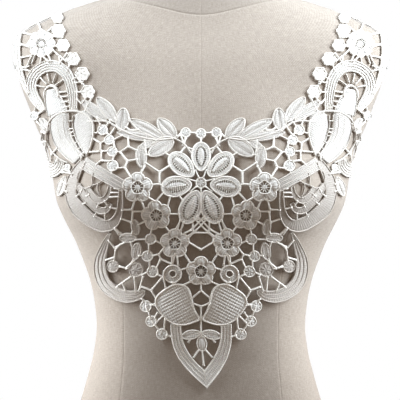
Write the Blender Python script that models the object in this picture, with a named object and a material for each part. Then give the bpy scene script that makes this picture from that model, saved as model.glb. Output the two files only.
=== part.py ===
"""Guipure lace collar worn on a limbless dress form.

Metres, +Z up, the form's flat base at z = 0, its front towards -Y.

The form is one closed surface in cylindrical coordinates about the upright axis:
    r(turn, z) = ((|sin turn| / width)^n + (|cos turn| / depth)^n)^(-1/n) + bust swell
The collar is one pierced wall at a small stand-off from the hanging surface, which is the same with
the drape added: cloth spans the hollow between the busts and hangs free under them. Its motifs are drawn
in pattern millimetres: 'across' from the centre line and 'drop' below a level 570 mm over the base,
on an upright plane 110 mm in front of the axis. They are laid on the form along lines from a point
1.5 m in front of the axis and 370 mm over the base. Past the shoulder ridge the drop is measured
along the surface.
"""

import heapq
import math

import bpy
import numpy as np
from mathutils import Vector
from mathutils.geometry import delaunay_2d_cdt

MM = 0.001

# Form sections: height, half width, front depth, back depth (mm), squareness of the oval.
SECTIONS = (
    (0, 158.0, 98.0, 112.0, 2.35),
    (60, 156.0, 98.0, 114.0, 2.35),
    (110, 144.0, 96.0, 106.0, 2.35),
    (154, 129.5, 92.0, 94.0, 2.3),
    (187, 120.0, 88.0, 84.0, 2.3),
    (208, 115.0, 86.0, 78.0, 2.3),
    (235, 112.0, 86.0, 75.0, 2.3),
    (262, 114.4, 88.0, 76.0, 2.3),
    (284, 119.0, 90.0, 79.0, 2.35),
    (305, 126.0, 93.0, 83.0, 2.4),
    (327, 135.0, 97.0, 87.0, 2.4),
    (348, 145.7, 101.0, 91.0, 2.4),
    (370, 154.8, 104.0, 94.0, 2.4),
    (392, 158.5, 104.5, 97.0, 2.4),
    (424, 164.5, 102.0, 99.0, 2.45),
    (445, 175.0, 99.0, 100.0, 2.45),
    (467, 183.5, 95.0, 100.0, 2.5),
    (489, 192.0, 90.0, 99.0, 2.5),
    (510, 198.0, 84.5, 97.0, 2.5),
    (521, 200.0, 81.0, 95.0, 2.45),
    (532, 200.7, 77.0, 92.0, 2.35),
    (543, 197.0, 73.0, 88.0, 2.2),
    (553, 186.0, 69.5, 84.0, 2.05),
    (564, 164.5, 66.0, 79.0, 1.95),
    (575, 140.0, 62.5, 74.0, 1.9),
    (586, 104.0, 59.0, 67.0, 1.95),
    (598, 70.0, 57.0, 60.0, 2.0),
    (612, 59.5, 55.5, 57.5, 2.0),
    (630, 57.0, 54.5, 56.0, 2.0),
    (650, 57.0, 54.5, 56.0, 2.0),
)
FORM_TOP = 650.0

# Bust swell: turn of its centre (degrees), height (mm), swell, spread round (degrees), up, down.
BUST = (37.0, 384.0, 22.0, 15.0, 50.0, 30.0)
# Drape of the cloth off the form: distance, height of its middle (mm), spread up, down, round (degrees).
DRAPE = ((9.0, 305.0, 35.0, 55.0, 32.0), (5.0, 385.0, 35.0, 35.0, 12.0))

EYE = np.array((0.0, -1500.0, 370.0))
PLANE_Y = -110.0
DATUM = 570.0
CHART_RADIUS = 130.0

STAND_OFF = 0.9
WALL = 1.3
BAR_WIDTH = 1.7
NET_STEP = 1.2
CELL_REACH = 11.0
SMALLEST_GAP = 13.0
MOST_GAPS = 296
EDGE_POINTS = 2140

# Round motifs: across, drop, radius.
DISCS = (
    (0.0, 134.0, 5.4), (15.5, 133.0, 5.4), (0.0, 183.0, 5.6), (50.0, 238.5, 5.7), (52.5, 256.0, 5.7),
    (47.5, 271.5, 6.0), (87.5, 166.0, 5.8), (88.0, 152.5, 5.2), (91.5, 141.5, 5.2), (98.0, 131.0, 5.4),
    (54.0, 307.0, 6.0), (48.8, 322.0, 6.0), (38.5, 336.0, 6.0), (163.5, 115.5, 5.2), (133.0, 166.5, 4.2),
    (87.4, 265.5, 7.2), (65.0, 269.0, 8.6), (66.5, 223.5, 5.0), (64.0, 231.0, 4.8), (61.5, 292.0, 5.2),
)
# Spangles down the neck edge of the strap: across, drop, radius.
SPANGLES = (
    (114.5, 92.0, 6.4), (120.5, 75.5, 6.4), (129.5, 60.5, 6.2), (134.5, 46.5, 6.0), (139.0, 32.0, 6.0),
    (141.0, 18.5, 6.0),
)
# Lobed flowers: across, drop, radius, lobes, turn of the first lobe (degrees).
FLOWERS = (
    (63.5, 187.5, 14.2, 5, 90.0), (44.0, 214.5, 14.2, 5, 80.0), (25.0, 242.5, 14.2, 5, 90.0),
    (0.0, 271.0, 14.0, 5, 90.0), (158.5, 45.5, 14.5, 8, 90.0),
)
# Petals round the middle hub: angle (degrees), then inner and outer end and width of all.
PETAL_ANGLES = (90.0, 42.0, -8.0, -67.0)
PETAL_INNER, PETAL_OUTER, PETAL_WIDTH = 10.0, 41.0, 19.5

# Leaves: base across, base drop, tip across, tip drop, width.
LEAVES = (
    (36.0, 139.5, 71.0, 120.0, 11.0), (26.0, 138.0, 44.0, 119.5, 13.0), (47.0, 139.5, 83.0, 133.5, 8.5),
    (79.5, 130.5, 76.0, 109.5, 12.0), (83.5, 122.5, 102.0, 97.0, 12.0), (94.0, 120.0, 118.0, 99.5, 9.5),
    (28.0, 140.5, 53.0, 157.0, 13.0), (61.5, 146.0, 58.5, 169.0, 10.0), (49.0, 142.0, 61.0, 148.5, 6.5),
    (67.5, 237.5, 81.0, 237.0, 8.5), (66.0, 241.5, 64.0, 259.0, 10.0), (133.5, 174.0, 142.0, 196.0, 9.0),
    (161.0, 120.0, 151.0, 134.0, 10.0), (122.5, 111.0, 113.5, 154.0, 21.0),
    (141.0, 116.0, 144.5, 150.0, 17.0),
)
# Bands: end width, then across and drop of the points of the middle line.
BANDS = (
    (2.2, ((53.0, 147.0), (45.0, 140.0), (35.0, 137.0), (26.0, 139.0), (18.5, 145.0), (10.0, 152.0))),
    (2.4, ((45.0, 140.0), (62.0, 137.0), (79.0, 130.5), (91.0, 121.5), (99.0, 116.5), (109.0, 117.0))),
    (9.5, ((117.0, 160.5), (96.0, 174.5), (74.0, 189.5))),
    (7.0, ((111.5, 151.0), (119.0, 165.0), (127.0, 178.0), (131.5, 193.0))),
    (12.0, ((136.0, 110.0), (136.5, 129.0), (131.5, 145.0), (120.0, 162.0))),
    (3.0, ((148.0, 124.0), (141.0, 115.0), (129.0, 110.5), (116.0, 111.5), (108.5, 121.0),
           (107.5, 135.0), (113.5, 154.0))),
    (9.0, ((124.5, 114.0), (125.0, 101.0), (129.5, 85.0))),
    (10.5, ((129.5, 88.0), (131.0, 78.0), (138.5, 69.5), (149.0, 66.5), (160.0, 70.0), (167.5, 79.0),
            (168.5, 90.0), (164.0, 99.0), (157.0, 107.0))),
    (4.6, ((181.0, 37.0), (183.5, 46.0), (183.5, 58.0), (180.0, 71.0), (175.5, 82.0), (171.0, 92.0))),
    (13.0, ((146.5, 91.0), (146.0, 103.0), (144.5, 116.0))),
    (2.2, ((160.0, 122.0), (158.0, 137.0), (161.0, 150.0), (161.0, 163.0))),
    (2.2, ((150.0, 146.0), (153.0, 155.0), (150.0, 164.0))),
    (10.5, ((161.0, 160.0), (157.0, 168.0), (149.0, 172.0), (141.0, 168.0), (137.5, 160.0))),
    (9.0, ((103.0, 252.0), (104.0, 268.0), (99.5, 282.0), (89.0, 291.5), (76.0, 297.0), (62.0, 296.0))),
    (3.0, ((95.0, 229.0), (100.5, 241.0), (104.0, 256.0))),
    (2.4, ((30.0, 264.5), (21.0, 268.0), (20.0, 277.0), (28.0, 282.0), (36.0, 277.0), (35.5, 267.5),
           (30.0, 264.5))),
    (4.2, ((34.0, 265.0), (37.0, 273.0), (35.5, 283.0), (37.0, 293.0))),
)
# Straight bars: across and drop of both ends.
BARS = (
    (-7.5, 218.0, 6.0, 231.5), (-4.5, 216.0, 9.0, 229.5), (6.0, 231.5, 14.0, 236.0),
    (9.0, 229.5, 17.0, 233.5), (15.5, 220.0, 18.5, 231.0), (18.5, 219.0, 22.0, 230.0),
    (0.0, 136.0, 0.0, 146.0), (0.0, 316.0, 0.0, 333.0), (173.0, 49.5, 182.5, 51.5),
    (171.5, 62.0, 182.0, 66.0), (158.0, 58.0, 155.0, 66.0), (163.0, 58.0, 165.0, 68.0),
    (148.0, 52.0, 140.0, 60.0), (148.0, 54.0, 143.0, 68.0), (134.5, 46.5, 148.0, 44.0),
    (139.0, 32.0, 150.0, 38.0), (129.5, 60.5, 136.0, 70.0), (120.5, 75.5, 131.0, 80.0),
    (114.5, 92.0, 125.0, 95.0), (114.5, 92.0, 118.0, 101.0), (168.0, 35.0, 164.0, 40.0),
    (157.0, 107.0, 163.5, 115.5), (154.0, 113.0, 161.5, 118.0), (0.0, 350.0, 0.0, 365.0),
    (2.0, 349.0, 9.0, 358.0), (54.0, 307.0, 45.0, 303.0), (48.8, 322.0, 41.0, 316.0),
    (38.5, 336.0, 27.0, 338.0), (38.5, 336.0, 33.0, 324.0), (61.5, 292.0, 54.0, 307.0),
    (160.5, 149.0, 151.0, 143.0),
    (133.0, 166.5, 128.0, 171.0), (133.0, 166.5, 139.0, 163.0), (139.0, 181.0, 130.0, 184.0),
    (136.0, 188.0, 131.0, 191.0), (119.0, 165.0, 137.0, 158.0),
)
# Solid patches: across and drop round the edge.
HEART = (
    (3.0, 318.0), (8.5, 304.0), (13.0, 292.0), (19.0, 287.5), (26.0, 286.0), (33.0, 289.0), (37.0, 293.5),
    (42.5, 294.5), (46.5, 300.0), (46.5, 307.0), (42.0, 316.0), (34.0, 324.5), (24.0, 326.0), (14.0, 323.5),
)
MEDALLION = (
    (114.0, 162.0), (124.0, 173.0), (131.5, 188.0), (132.5, 204.0), (126.5, 215.0), (116.0, 224.0),
    (104.0, 230.0), (95.0, 231.5), (86.0, 226.0), (79.0, 216.0), (77.5, 204.0), (77.5, 189.0), (96.0, 177.0),
)
PENDANT = (
    (0.0, 332.0), (9.0, 329.0), (18.0, 331.0), (20.0, 322.0), (29.0, 324.0), (30.0, 335.0), (28.8, 346.0),
    (24.0, 358.0), (15.5, 371.0), (7.0, 381.0), (0.0, 387.0),
)
# Gaps cut in the patches and bands: across, drop, width, height, lean (degrees).
CUTS = (
    (114.5, 177.5, 12.5, 10.5, 30.0), (103.0, 180.6, 8.5, 4.6, 30.0), (95.3, 191.0, 7.0, 14.5, 15.0),
    (87.0, 203.0, 8.0, 8.5, 0.0), (90.0, 214.5, 10.0, 6.0, 35.0), (96.5, 203.8, 6.2, 7.0, 0.0),
    (85.3, 192.5, 5.6, 6.4, 0.0), (111.0, 193.0, 5.0, 16.0, 48.0), (28.0, 273.0, 8.4, 8.4, 0.0),
)
# Openings of the pendant: across and drop round the edge.
PENDANT_OPENINGS = (
    ((4.8, 338.5), (15.0, 340.5), (12.5, 349.0), (9.2, 355.0), (5.0, 349.5)),
    ((1.0, 351.5), (3.2, 351.0), (7.8, 357.2), (1.0, 362.8)),
)
# The outer border of the collar: across and drop. The strap end runs just behind the ridge.
BORDER_INNER = (
    (0.0, 134.0), (15.5, 133.0), (24.5, 138.0), (34.0, 127.0), (44.0, 123.0), (52.0, 130.0), (69.0, 121.5),
    (76.0, 112.0), (82.0, 123.0), (101.0, 98.5), (114.5, 92.0), (120.5, 75.5), (129.5, 60.5), (134.5, 46.5),
    (139.0, 32.0), (141.0, 18.5),
)
# Strap end: across, distance behind the ridge.
STRAP_END = ((139.0, 3.0), (147.0, 6.5), (156.0, 7.5), (165.0, 7.0), (173.0, 4.5), (180.5, 0.5))
BORDER_OUTER = (
    (182.5, 44.0), (183.5, 56.0), (180.0, 71.0), (174.0, 85.0), (168.5, 97.0), (158.0, 108.0),
    (163.5, 115.5),
    (157.0, 127.0), (158.0, 137.0), (161.0, 150.0), (160.0, 164.0), (149.5, 173.5), (141.5, 184.0),
    (141.0, 193.0), (131.5, 193.0), (131.0, 205.0), (125.5, 214.0), (115.0, 223.0), (103.0, 229.0),
    (95.5, 230.0), (100.5, 241.0), (104.5, 256.0), (106.0, 270.0), (100.5, 285.0), (90.0, 295.0),
    (76.0, 300.0), (62.0, 296.0), (54.0, 307.0), (48.8, 322.0), (38.5, 336.0), (29.0, 337.0),
    (27.5, 347.0), (22.5, 358.0), (14.0, 370.0), (5.0, 381.0), (0.0, 385.5),
)
# Inside of the strap's horseshoe: centre, inner and outer radius of the fan gaps.
FAN = (149.0, 87.5, 8.0, 14.6)

ASH = (0.86, 0.84, 0.79, 1.0)
LINEN = (0.74, 0.68, 0.6, 1.0)


def fine_sections():
    """Section values every half millimetre, through the table by a smooth monotone cubic."""
    table = np.array(SECTIONS, dtype=float)
    knots = table[:, 0]
    heights = np.arange(0.0, FORM_TOP + 0.25, 0.5)
    columns = []
    for column in table[:, 1:].T:
        step = np.diff(knots)
        slope = np.diff(column) / step
        tangent = np.zeros_like(column)
        for i in range(1, len(knots) - 1):
            if slope[i - 1] * slope[i] > 0:
                w1 = 2 * step[i] + step[i - 1]
                w2 = step[i] + 2 * step[i - 1]
                tangent[i] = (w1 + w2) / (w1 / slope[i - 1] + w2 / slope[i])
        tangent[0], tangent[-1] = slope[0], slope[-1]
        k = np.clip(np.searchsorted(knots, heights, side="right") - 1, 0, len(step) - 1)
        t = (heights - knots[k]) / step[k]
        columns.append(
            (2 * t**3 - 3 * t**2 + 1) * column[k] + (t**3 - 2 * t**2 + t) * step[k] * tangent[k]
            + (3 * t**2 - 2 * t**3) * column[k + 1] + (t**3 - t**2) * step[k] * tangent[k + 1]
        )
    return heights, np.array(columns)


HEIGHTS, COLUMNS = fine_sections()


def form_reach(turn, height):
    """Distance of the form's skin from the axis (mm) at a turn from the front and a height."""
    width, front, back, power = (np.interp(height, HEIGHTS, column) for column in COLUMNS)
    sine, cosine = np.abs(np.sin(turn)), np.cos(turn)
    depth = np.where(cosine > 0, front, back)
    oval = ((sine / width) ** power + (np.abs(cosine) / depth) ** power) ** (-1.0 / power)
    middle, level, swell, spread, upper, lower = BUST
    sideways = (np.degrees(np.abs(turn)) - middle) / spread
    upright = (height - level) / np.where(height > level, upper, lower)
    return oval + swell * np.exp(-0.5 * (sideways**2 + upright**2))


def reach(turn, height):
    """Distance of the hanging surface from the axis (mm): the form's skin and the drape."""
    radius = form_reach(turn, height)
    for distance, level, upper, lower, round_about in DRAPE:
        upright = (height - level) / np.where(height > level, upper, lower)
        sideways = np.degrees(turn) / round_about
        radius = radius + distance * np.exp(-0.5 * (sideways**2 + upright**2))
    return radius


def at_radius(radius, turn, height):
    """Point (mm) at a distance from the axis, a turn and a height."""
    return np.stack((radius * np.sin(turn), -radius * np.cos(turn), height + 0.0 * radius), axis=-1)


def skin(turn, height):
    """Point of the hanging surface (mm)."""
    return at_radius(reach(turn, height), turn, height)


def outside(points):
    """How far points lie outside the hanging surface, measured level (mm)."""
    turn = np.arctan2(points[..., 0], -points[..., 1])
    return np.hypot(points[..., 0], points[..., 1]) - reach(turn, points[..., 2])


def slope_of(points):
    """Gradient of outside() by central differences."""
    parts = []
    for axis in range(3):
        step = np.zeros(3)
        step[axis] = 0.6
        parts.append((outside(points + step) - outside(points - step)) / 1.2)
    return np.stack(parts, axis=-1)


def normals(points):
    """Unit outward normals of the hanging surface."""
    gradient = slope_of(points)
    return gradient / np.linalg.norm(gradient, axis=-1, keepdims=True)


def settle(points):
    """Points moved onto the skin along its normals."""
    for _ in range(4):
        gradient = slope_of(points)
        share = outside(points) / np.sum(gradient**2, axis=-1)
        points = points - gradient * share[..., None]
    return points


def chart_table():
    """Arc length up the side of the form, the chart's upright coordinate."""
    turn = math.radians(74.0)
    radius = reach(turn, HEIGHTS)
    pace = np.hypot(np.gradient(radius, HEIGHTS), 1.0)
    return np.concatenate(([0.0], np.cumsum(0.25 * (pace[1:] + pace[:-1]))))


LENGTHS = chart_table()


def to_chart(points, mirrored=False):
    """Chart coordinates (mm) of points of the skin."""
    side = -1.0 if mirrored else 1.0
    turn = np.arctan2(side * points[..., 0], -points[..., 1])
    return np.stack((CHART_RADIUS * turn, np.interp(points[..., 2], HEIGHTS, LENGTHS)), axis=-1)


def from_chart(chart):
    """Points of the skin (mm) at chart coordinates."""
    return skin(chart[..., 0] / CHART_RADIUS, np.interp(chart[..., 1], LENGTHS, HEIGHTS))


def hung(chart):
    """Chart points as worn: below 250 mm the tip hangs a little to one side."""
    height = np.interp(chart[:, 1], LENGTHS, HEIGHTS)
    sideways = 0.0012 * np.maximum(0.0, 250.0 - height) ** 2
    return chart + np.stack((sideways * CHART_RADIUS / 88.0, 0.0 * sideways), axis=-1)


def sight_lines(across, drop):
    """First point where the line from the eye through a pattern point meets the skin, and a miss flag."""
    aim = np.stack((across, np.full_like(across, PLANE_Y), DATUM - drop), axis=-1)
    heading = aim - EYE
    reachs = np.linspace(0.955, 1.09, 160)
    samples = EYE + heading[:, None, :] * reachs[None, :, None]
    gap = outside(samples)
    inside = gap < 0
    first = np.argmax(inside, axis=1)
    missed = ~inside.any(axis=1)
    first[missed] = np.argmin(gap[missed], axis=1) if missed.any() else first[missed]
    rows = np.arange(len(across))
    before = np.maximum(first - 1, 0)
    g0, g1 = gap[rows, before], gap[rows, first]
    share = np.where(missed | (g0 == g1), 1.0, g0 / np.where(g0 == g1, 1.0, g0 - g1))
    at = reachs[before] + (reachs[first] - reachs[before]) * np.clip(share, 0.0, 1.0)
    return settle(EYE + heading * at[:, None]), missed


def ridge_table():
    """For each across, the drop of the shoulder ridge and the skin behind it every 2 mm."""
    columns = np.arange(120.0, 190.0, 1.0)
    drops, tracks = [], []
    for across in columns:
        trial = np.arange(-5.0, 80.0, 0.5)
        points, missed = sight_lines(np.full_like(trial, across), trial)
        seen = int(np.argmax(~missed))
        drops.append(trial[seen])
        x, y, z = points[seen]
        ys = y + np.arange(0.0, 60.0, 1.0)
        low, high = np.full_like(ys, 450.0), np.full_like(ys, 640.0)
        for _ in range(30):
            middle = 0.5 * (low + high)
            out = outside(np.stack((np.full_like(ys, x), ys, middle), axis=-1)) > 0
            high = np.where(out, middle, high)
            low = np.where(out, low, middle)
        length = np.concatenate(([0.0], np.cumsum(np.hypot(1.0, np.diff(low)))))
        stations = np.arange(0.0, 41.0, 2.0)
        y_at, z_at = np.interp(stations, length, ys), np.interp(stations, length, low)
        tracks.append(np.stack((np.full_like(stations, x), y_at, z_at), axis=-1))
    return columns, np.array(drops), np.array(tracks)


RIDGE_ACROSS, RIDGE_DROP, RIDGE_TRACKS = ridge_table()


def ridge_drop(across):
    """Drop at which the shoulder ridge is met."""
    return np.interp(across, RIDGE_ACROSS, RIDGE_DROP)


def on_form(pattern):
    """Skin points (mm) under pattern points; past the ridge the drop runs on behind it."""
    pattern = np.atleast_2d(np.asarray(pattern, dtype=float))
    across, drop = pattern[:, 0], pattern[:, 1]
    points, _ = sight_lines(across, drop)
    behind = ridge_drop(across) - drop
    far = (behind > 0) & (across > 120.0)
    if far.any():
        column = np.clip((across[far] - RIDGE_ACROSS[0]), 0, len(RIDGE_ACROSS) - 1.001)
        station = np.clip(behind[far] / 2.0, 0, RIDGE_TRACKS.shape[1] - 1.001)
        i, j = column.astype(int), station.astype(int)
        a, b = (column - i)[:, None], (station - j)[:, None]
        track = RIDGE_TRACKS
        near = track[i, j] * (1 - b) + track[i, j + 1] * b
        next_one = track[i + 1, j] * (1 - b) + track[i + 1, j + 1] * b
        points[far] = settle(near * (1 - a) + next_one * a)
    return points


def tangent_frame(centre):
    """Level and upward unit tangents of the skin at a point."""
    normal = normals(centre[None])[0]
    level = np.cross((0.0, 0.0, 1.0), normal)
    level /= np.linalg.norm(level)
    return level, np.cross(normal, level)


def laid_flat(centre, offsets):
    """Skin points at millimetre offsets (level, up) in the tangent plane of a centre point."""
    level, upward = tangent_frame(centre)
    return settle(centre + offsets[:, :1] * level + offsets[:, 1:] * upward)


def ring(radius, count, turn=0.0):
    """Points round a circle."""
    angles = turn + 2 * math.pi * np.arange(count) / count
    return radius * np.stack((np.cos(angles), np.sin(angles)), axis=-1)


def smooth_line(points, step):
    """Catmull-Rom curve through points, sampled about every step."""
    points = np.asarray(points, dtype=float)
    closed = np.allclose(points[0], points[-1])
    first = points[-2] if closed else 2 * points[0] - points[1]
    last = points[1] if closed else 2 * points[-1] - points[-2]
    padded = np.vstack((first, points, last))
    out = []
    for a, b, c, d in zip(padded, padded[1:], padded[2:], padded[3:]):
        count = max(1, int(round(np.linalg.norm(c - b) / step)))
        t = (np.arange(count) / count)[:, None]
        out.append(0.5 * (2 * b + (c - a) * t + (2 * a - 5 * b + 4 * c - d) * t**2
                          + (3 * b - a - 3 * c + d) * t**3))
    return np.vstack(out + [points[-1:]])


def strip(centre_line, width):
    """Quads of a band of a given width about a line of skin points."""
    along = np.gradient(centre_line, axis=0)
    if np.allclose(centre_line[0], centre_line[-1]):
        along[0] = along[-1] = centre_line[1] - centre_line[-2]
    along /= np.linalg.norm(along, axis=1, keepdims=True)
    sideways = np.cross(normals(centre_line), along) * width / 2
    left, right = settle(centre_line + sideways), settle(centre_line - sideways)
    return [np.stack(quad) for quad in zip(left[:-1], left[1:], right[1:], right[:-1])]


class Motif:
    """Closed outlines of skin points that together make one motif, with the raised points inside it."""

    def __init__(self, outlines, raised=(), heights=()):
        self.outlines = outlines
        self.raised = np.asarray(raised).reshape(-1, 3)
        self.heights = np.asarray(heights, dtype=float).reshape(-1)

    def on_chart(self, mirrored=False):
        """The outlines in chart coordinates."""
        return [to_chart(outline, mirrored) for outline in self.outlines]


def disc(across, drop, radius):
    """A domed satin disc."""
    centre = on_form((across, drop))[0]
    return Motif([laid_flat(centre, ring(radius, 12))], centre, (1.2,))


def flower(across, drop, radius, lobes, turn):
    """A lobed flower, dished at the hub, each lobe domed."""
    centre = on_form((across, drop))[0]
    count = 4 * lobes
    angles = math.radians(turn) + 2 * math.pi * np.arange(count) / count
    wave = radius * (0.87 + 0.13 * np.cos(lobes * (angles - math.radians(turn))))
    outline = np.stack((wave * np.cos(angles), wave * np.sin(angles)), axis=-1)
    domes = ring(0.62 * radius, lobes, math.radians(turn))
    raised = laid_flat(centre, np.vstack((domes, [[0.0, 0.0]])))
    return Motif([laid_flat(centre, outline)], raised, [1.2] * lobes + [0.4])


def leaf_outline(length, width, count=6, fullness=0.75):
    """Outline from (0, 0) to (length, 0), widest near the middle: half width = w/2 sin(pi t)^fullness."""
    t = np.linspace(0.0, 1.0, count + 1)
    half = 0.5 * width * np.sin(math.pi * t) ** fullness
    upper = np.stack((length * t, half), axis=-1)
    lower = np.stack((length * t[1:-1], -half[1:-1]), axis=-1)[::-1]
    return np.vstack((upper, lower))


def leaf(base_across, base_drop, tip_across, tip_drop, width):
    """A satin leaf with a raised middle rib."""
    base, tip = np.array((base_across, base_drop)), np.array((tip_across, tip_drop))
    span = tip - base
    length = np.linalg.norm(span)
    along = span / length
    side = np.array((-along[1], along[0]))
    outline = leaf_outline(length, width)
    rib = np.array((0.25, 0.5, 0.75))[:, None] * length
    raised = on_form(base + rib * along)
    edge = on_form(base + outline[:, :1] * along + outline[:, 1:] * side)
    return Motif([edge], raised, [0.9, 1.2, 0.9])


def petal(angle):
    """One of the large petals round the middle hub."""
    hub = on_form((0.0, 183.0))[0]
    heading = np.array((math.cos(math.radians(angle)), math.sin(math.radians(angle))))
    side = np.array((-heading[1], heading[0]))
    outline = leaf_outline(PETAL_OUTER - PETAL_INNER, PETAL_WIDTH, 8, 0.6)
    outline[:, 0] += PETAL_INNER
    rib = np.array((16.0, 24.0, 32.0))[:, None]
    edge = laid_flat(hub, outline[:, :1] * heading + outline[:, 1:] * side)
    return Motif([edge], laid_flat(hub, rib * heading), [0.9, 1.2, 0.9])


def band(width, line):
    """A satin band along a smooth line, raised along the middle where it is wide."""
    centre = on_form(smooth_line(line, 4.5))
    raised = centre[1:-1:2] if width > 6.0 else ()
    return Motif(strip(centre, width), raised, [0.9] * len(raised))


def bar(ends, width=BAR_WIDTH):
    """A straight bar between two skin points."""
    ends = np.asarray(ends)
    count = max(2, int(np.linalg.norm(ends[1] - ends[0]) / 9.0) + 2)
    share = np.linspace(0.0, 1.0, count)[:, None]
    return Motif(strip(settle(ends[0] * (1 - share) + ends[1] * share), width))


def patch(outline, raised=(), height=0.8):
    """A flat-bodied patch with its outline in pattern millimetres."""
    points = on_form(raised) if len(raised) else ()
    return Motif([on_form(outline)], points, [height] * len(raised))


def border_line():
    """The collar's border on one half, neck edge to tip."""
    over = [(a, float(ridge_drop(a)) - q) for a, q in STRAP_END]
    return np.array(BORDER_INNER + tuple(over) + BORDER_OUTER)


def half_motifs():
    """All motifs of the wearer's left half; those on the centre line are symmetric."""
    out = [disc(*row) for row in DISCS]
    out += [disc(*row) for row in SPANGLES]
    out += [flower(*row) for row in FLOWERS]
    out += [petal(angle) for angle in PETAL_ANGLES]
    out += [leaf(*row) for row in LEAVES]
    out += [band(*row) for row in BANDS]
    out += [bar(on_form((row[:2], row[2:]))) for row in BARS]
    heart_ribs = [(a, d) for d in (296.0, 306.0, 316.0) for a in (14.0, 22.0, 30.0, 38.0) if a + d < 350.0]
    out.append(patch(HEART, heart_ribs))
    medallion_ribs = ((126.0, 192.0), (125.0, 204.0), (117.0, 214.0), (106.0, 222.0), (95.0, 226.0),
                      (85.0, 219.0), (80.5, 207.0), (105.0, 200.0), (120.0, 186.0))
    out.append(patch(MEDALLION, medallion_ribs))
    out.append(patch(PENDANT, ((25.0, 331.0), (24.0, 345.0), (18.0, 358.0), (10.0, 369.0), (0.5, 376.0))))
    over = np.array([(a, float(ridge_drop(a)) - q) for a, q in STRAP_END])
    out.append(Motif(strip(on_form(smooth_line(over, 4.5)), 8.0)))
    centre_a, centre_d, inner, _ = FAN
    turns = np.linspace(0.0, math.pi, 7)
    out.append(patch([(centre_a + inner * math.cos(t), centre_d - inner * math.sin(t)) for t in turns]))
    for angle in np.radians((8.0, 40.0, 72.0, 104.0, 136.0, 168.0)):
        spoke = [(centre_a + r * math.cos(angle), centre_d - r * math.sin(angle)) for r in (6.5, 16.5)]
        out.append(bar(on_form(spoke)))
    return out


def border_motif():
    """A thin cord along the whole border of one half."""
    line = on_form(border_line())
    return [bar(pair) for pair in zip(line[:-1], line[1:])]


def cut_outlines():
    """Gaps of one half, in skin points."""
    out = []
    for across, drop, width, height, lean in CUTS:
        angle = math.radians(lean)
        oval = ring(1.0, 8, math.pi / 8) * (width / 2, height / 2)
        turned = np.stack((oval[:, 0] * math.cos(angle) - oval[:, 1] * math.sin(angle),
                           oval[:, 0] * math.sin(angle) + oval[:, 1] * math.cos(angle)), axis=-1)
        out.append(on_form(turned * (1.0, -1.0) + (across, drop)))
    out += [on_form(rows) for rows in PENDANT_OPENINGS]
    return out


def within(points, polygon):
    """Which chart points lie inside a chart polygon."""
    inside = np.zeros(len(points), dtype=bool)
    box = (points >= polygon.min(0)).all(1) & (points <= polygon.max(0)).all(1)
    chosen = points[box]
    hits = np.zeros(len(chosen), dtype=bool)
    for (x0, y0), (x1, y1) in zip(polygon, np.roll(polygon, -1, axis=0)):
        if y0 == y1:
            continue
        crosses = (y0 > chosen[:, 1]) != (y1 > chosen[:, 1])
        hits ^= crosses & (chosen[:, 0] < x0 + (chosen[:, 1] - y0) * (x1 - x0) / (y1 - y0))
    inside[box] = hits
    return inside


def free_raster(outlines, border):
    """Raster of the half collar's bare ground: grid shape, chart points and which are bare."""
    top = border.max(0) + 2 * NET_STEP
    floor = border[:, 1].min() - 2 * NET_STEP
    around = (np.arange(int(top[0] / NET_STEP)) + 0.5) * NET_STEP
    upright = np.arange(floor, top[1], NET_STEP)
    grid = np.stack(np.meshgrid(around, upright, indexing="ij"), axis=-1)
    flat = grid.reshape(-1, 2)
    bare = within(flat, border)
    for outline in outlines:
        bare &= ~within(flat, outline)
    return grid.shape[:2], flat, bare


def net_cells(points):
    """Cell middles spread evenly over bare ground: farthest-point start, then centroid steps."""
    seeds = [int(np.argmin(points[:, 2]))]
    distance = np.linalg.norm(points - points[seeds[0]], axis=1)
    while distance.max() > CELL_REACH:
        seeds.append(int(np.argmax(distance)))
        distance = np.minimum(distance, np.linalg.norm(points - points[seeds[-1]], axis=1))
    middles = points[seeds]
    central = middles[:, 0] < 5.5
    middles[central, 0] = 0.0
    for _ in range(14):
        owner = nearest(points, middles)
        count = np.bincount(owner, minlength=len(middles))
        for axis in range(3):
            total = np.bincount(owner, points[:, axis], minlength=len(middles))
            moving = (count > 0) & ~(central & (axis == 0))
            middles[:, axis] = np.where(moving, total / np.maximum(count, 1), middles[:, axis])
    return middles, central


def nearest(points, middles):
    """Index of the nearest middle for every point."""
    owner = np.zeros(len(points), dtype=int)
    for start in range(0, len(points), 4000):
        part = points[start:start + 4000]
        owner[start:start + 4000] = np.argmin(((part[:, None] - middles[None]) ** 2).sum(-1), axis=1)
    return owner


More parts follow.
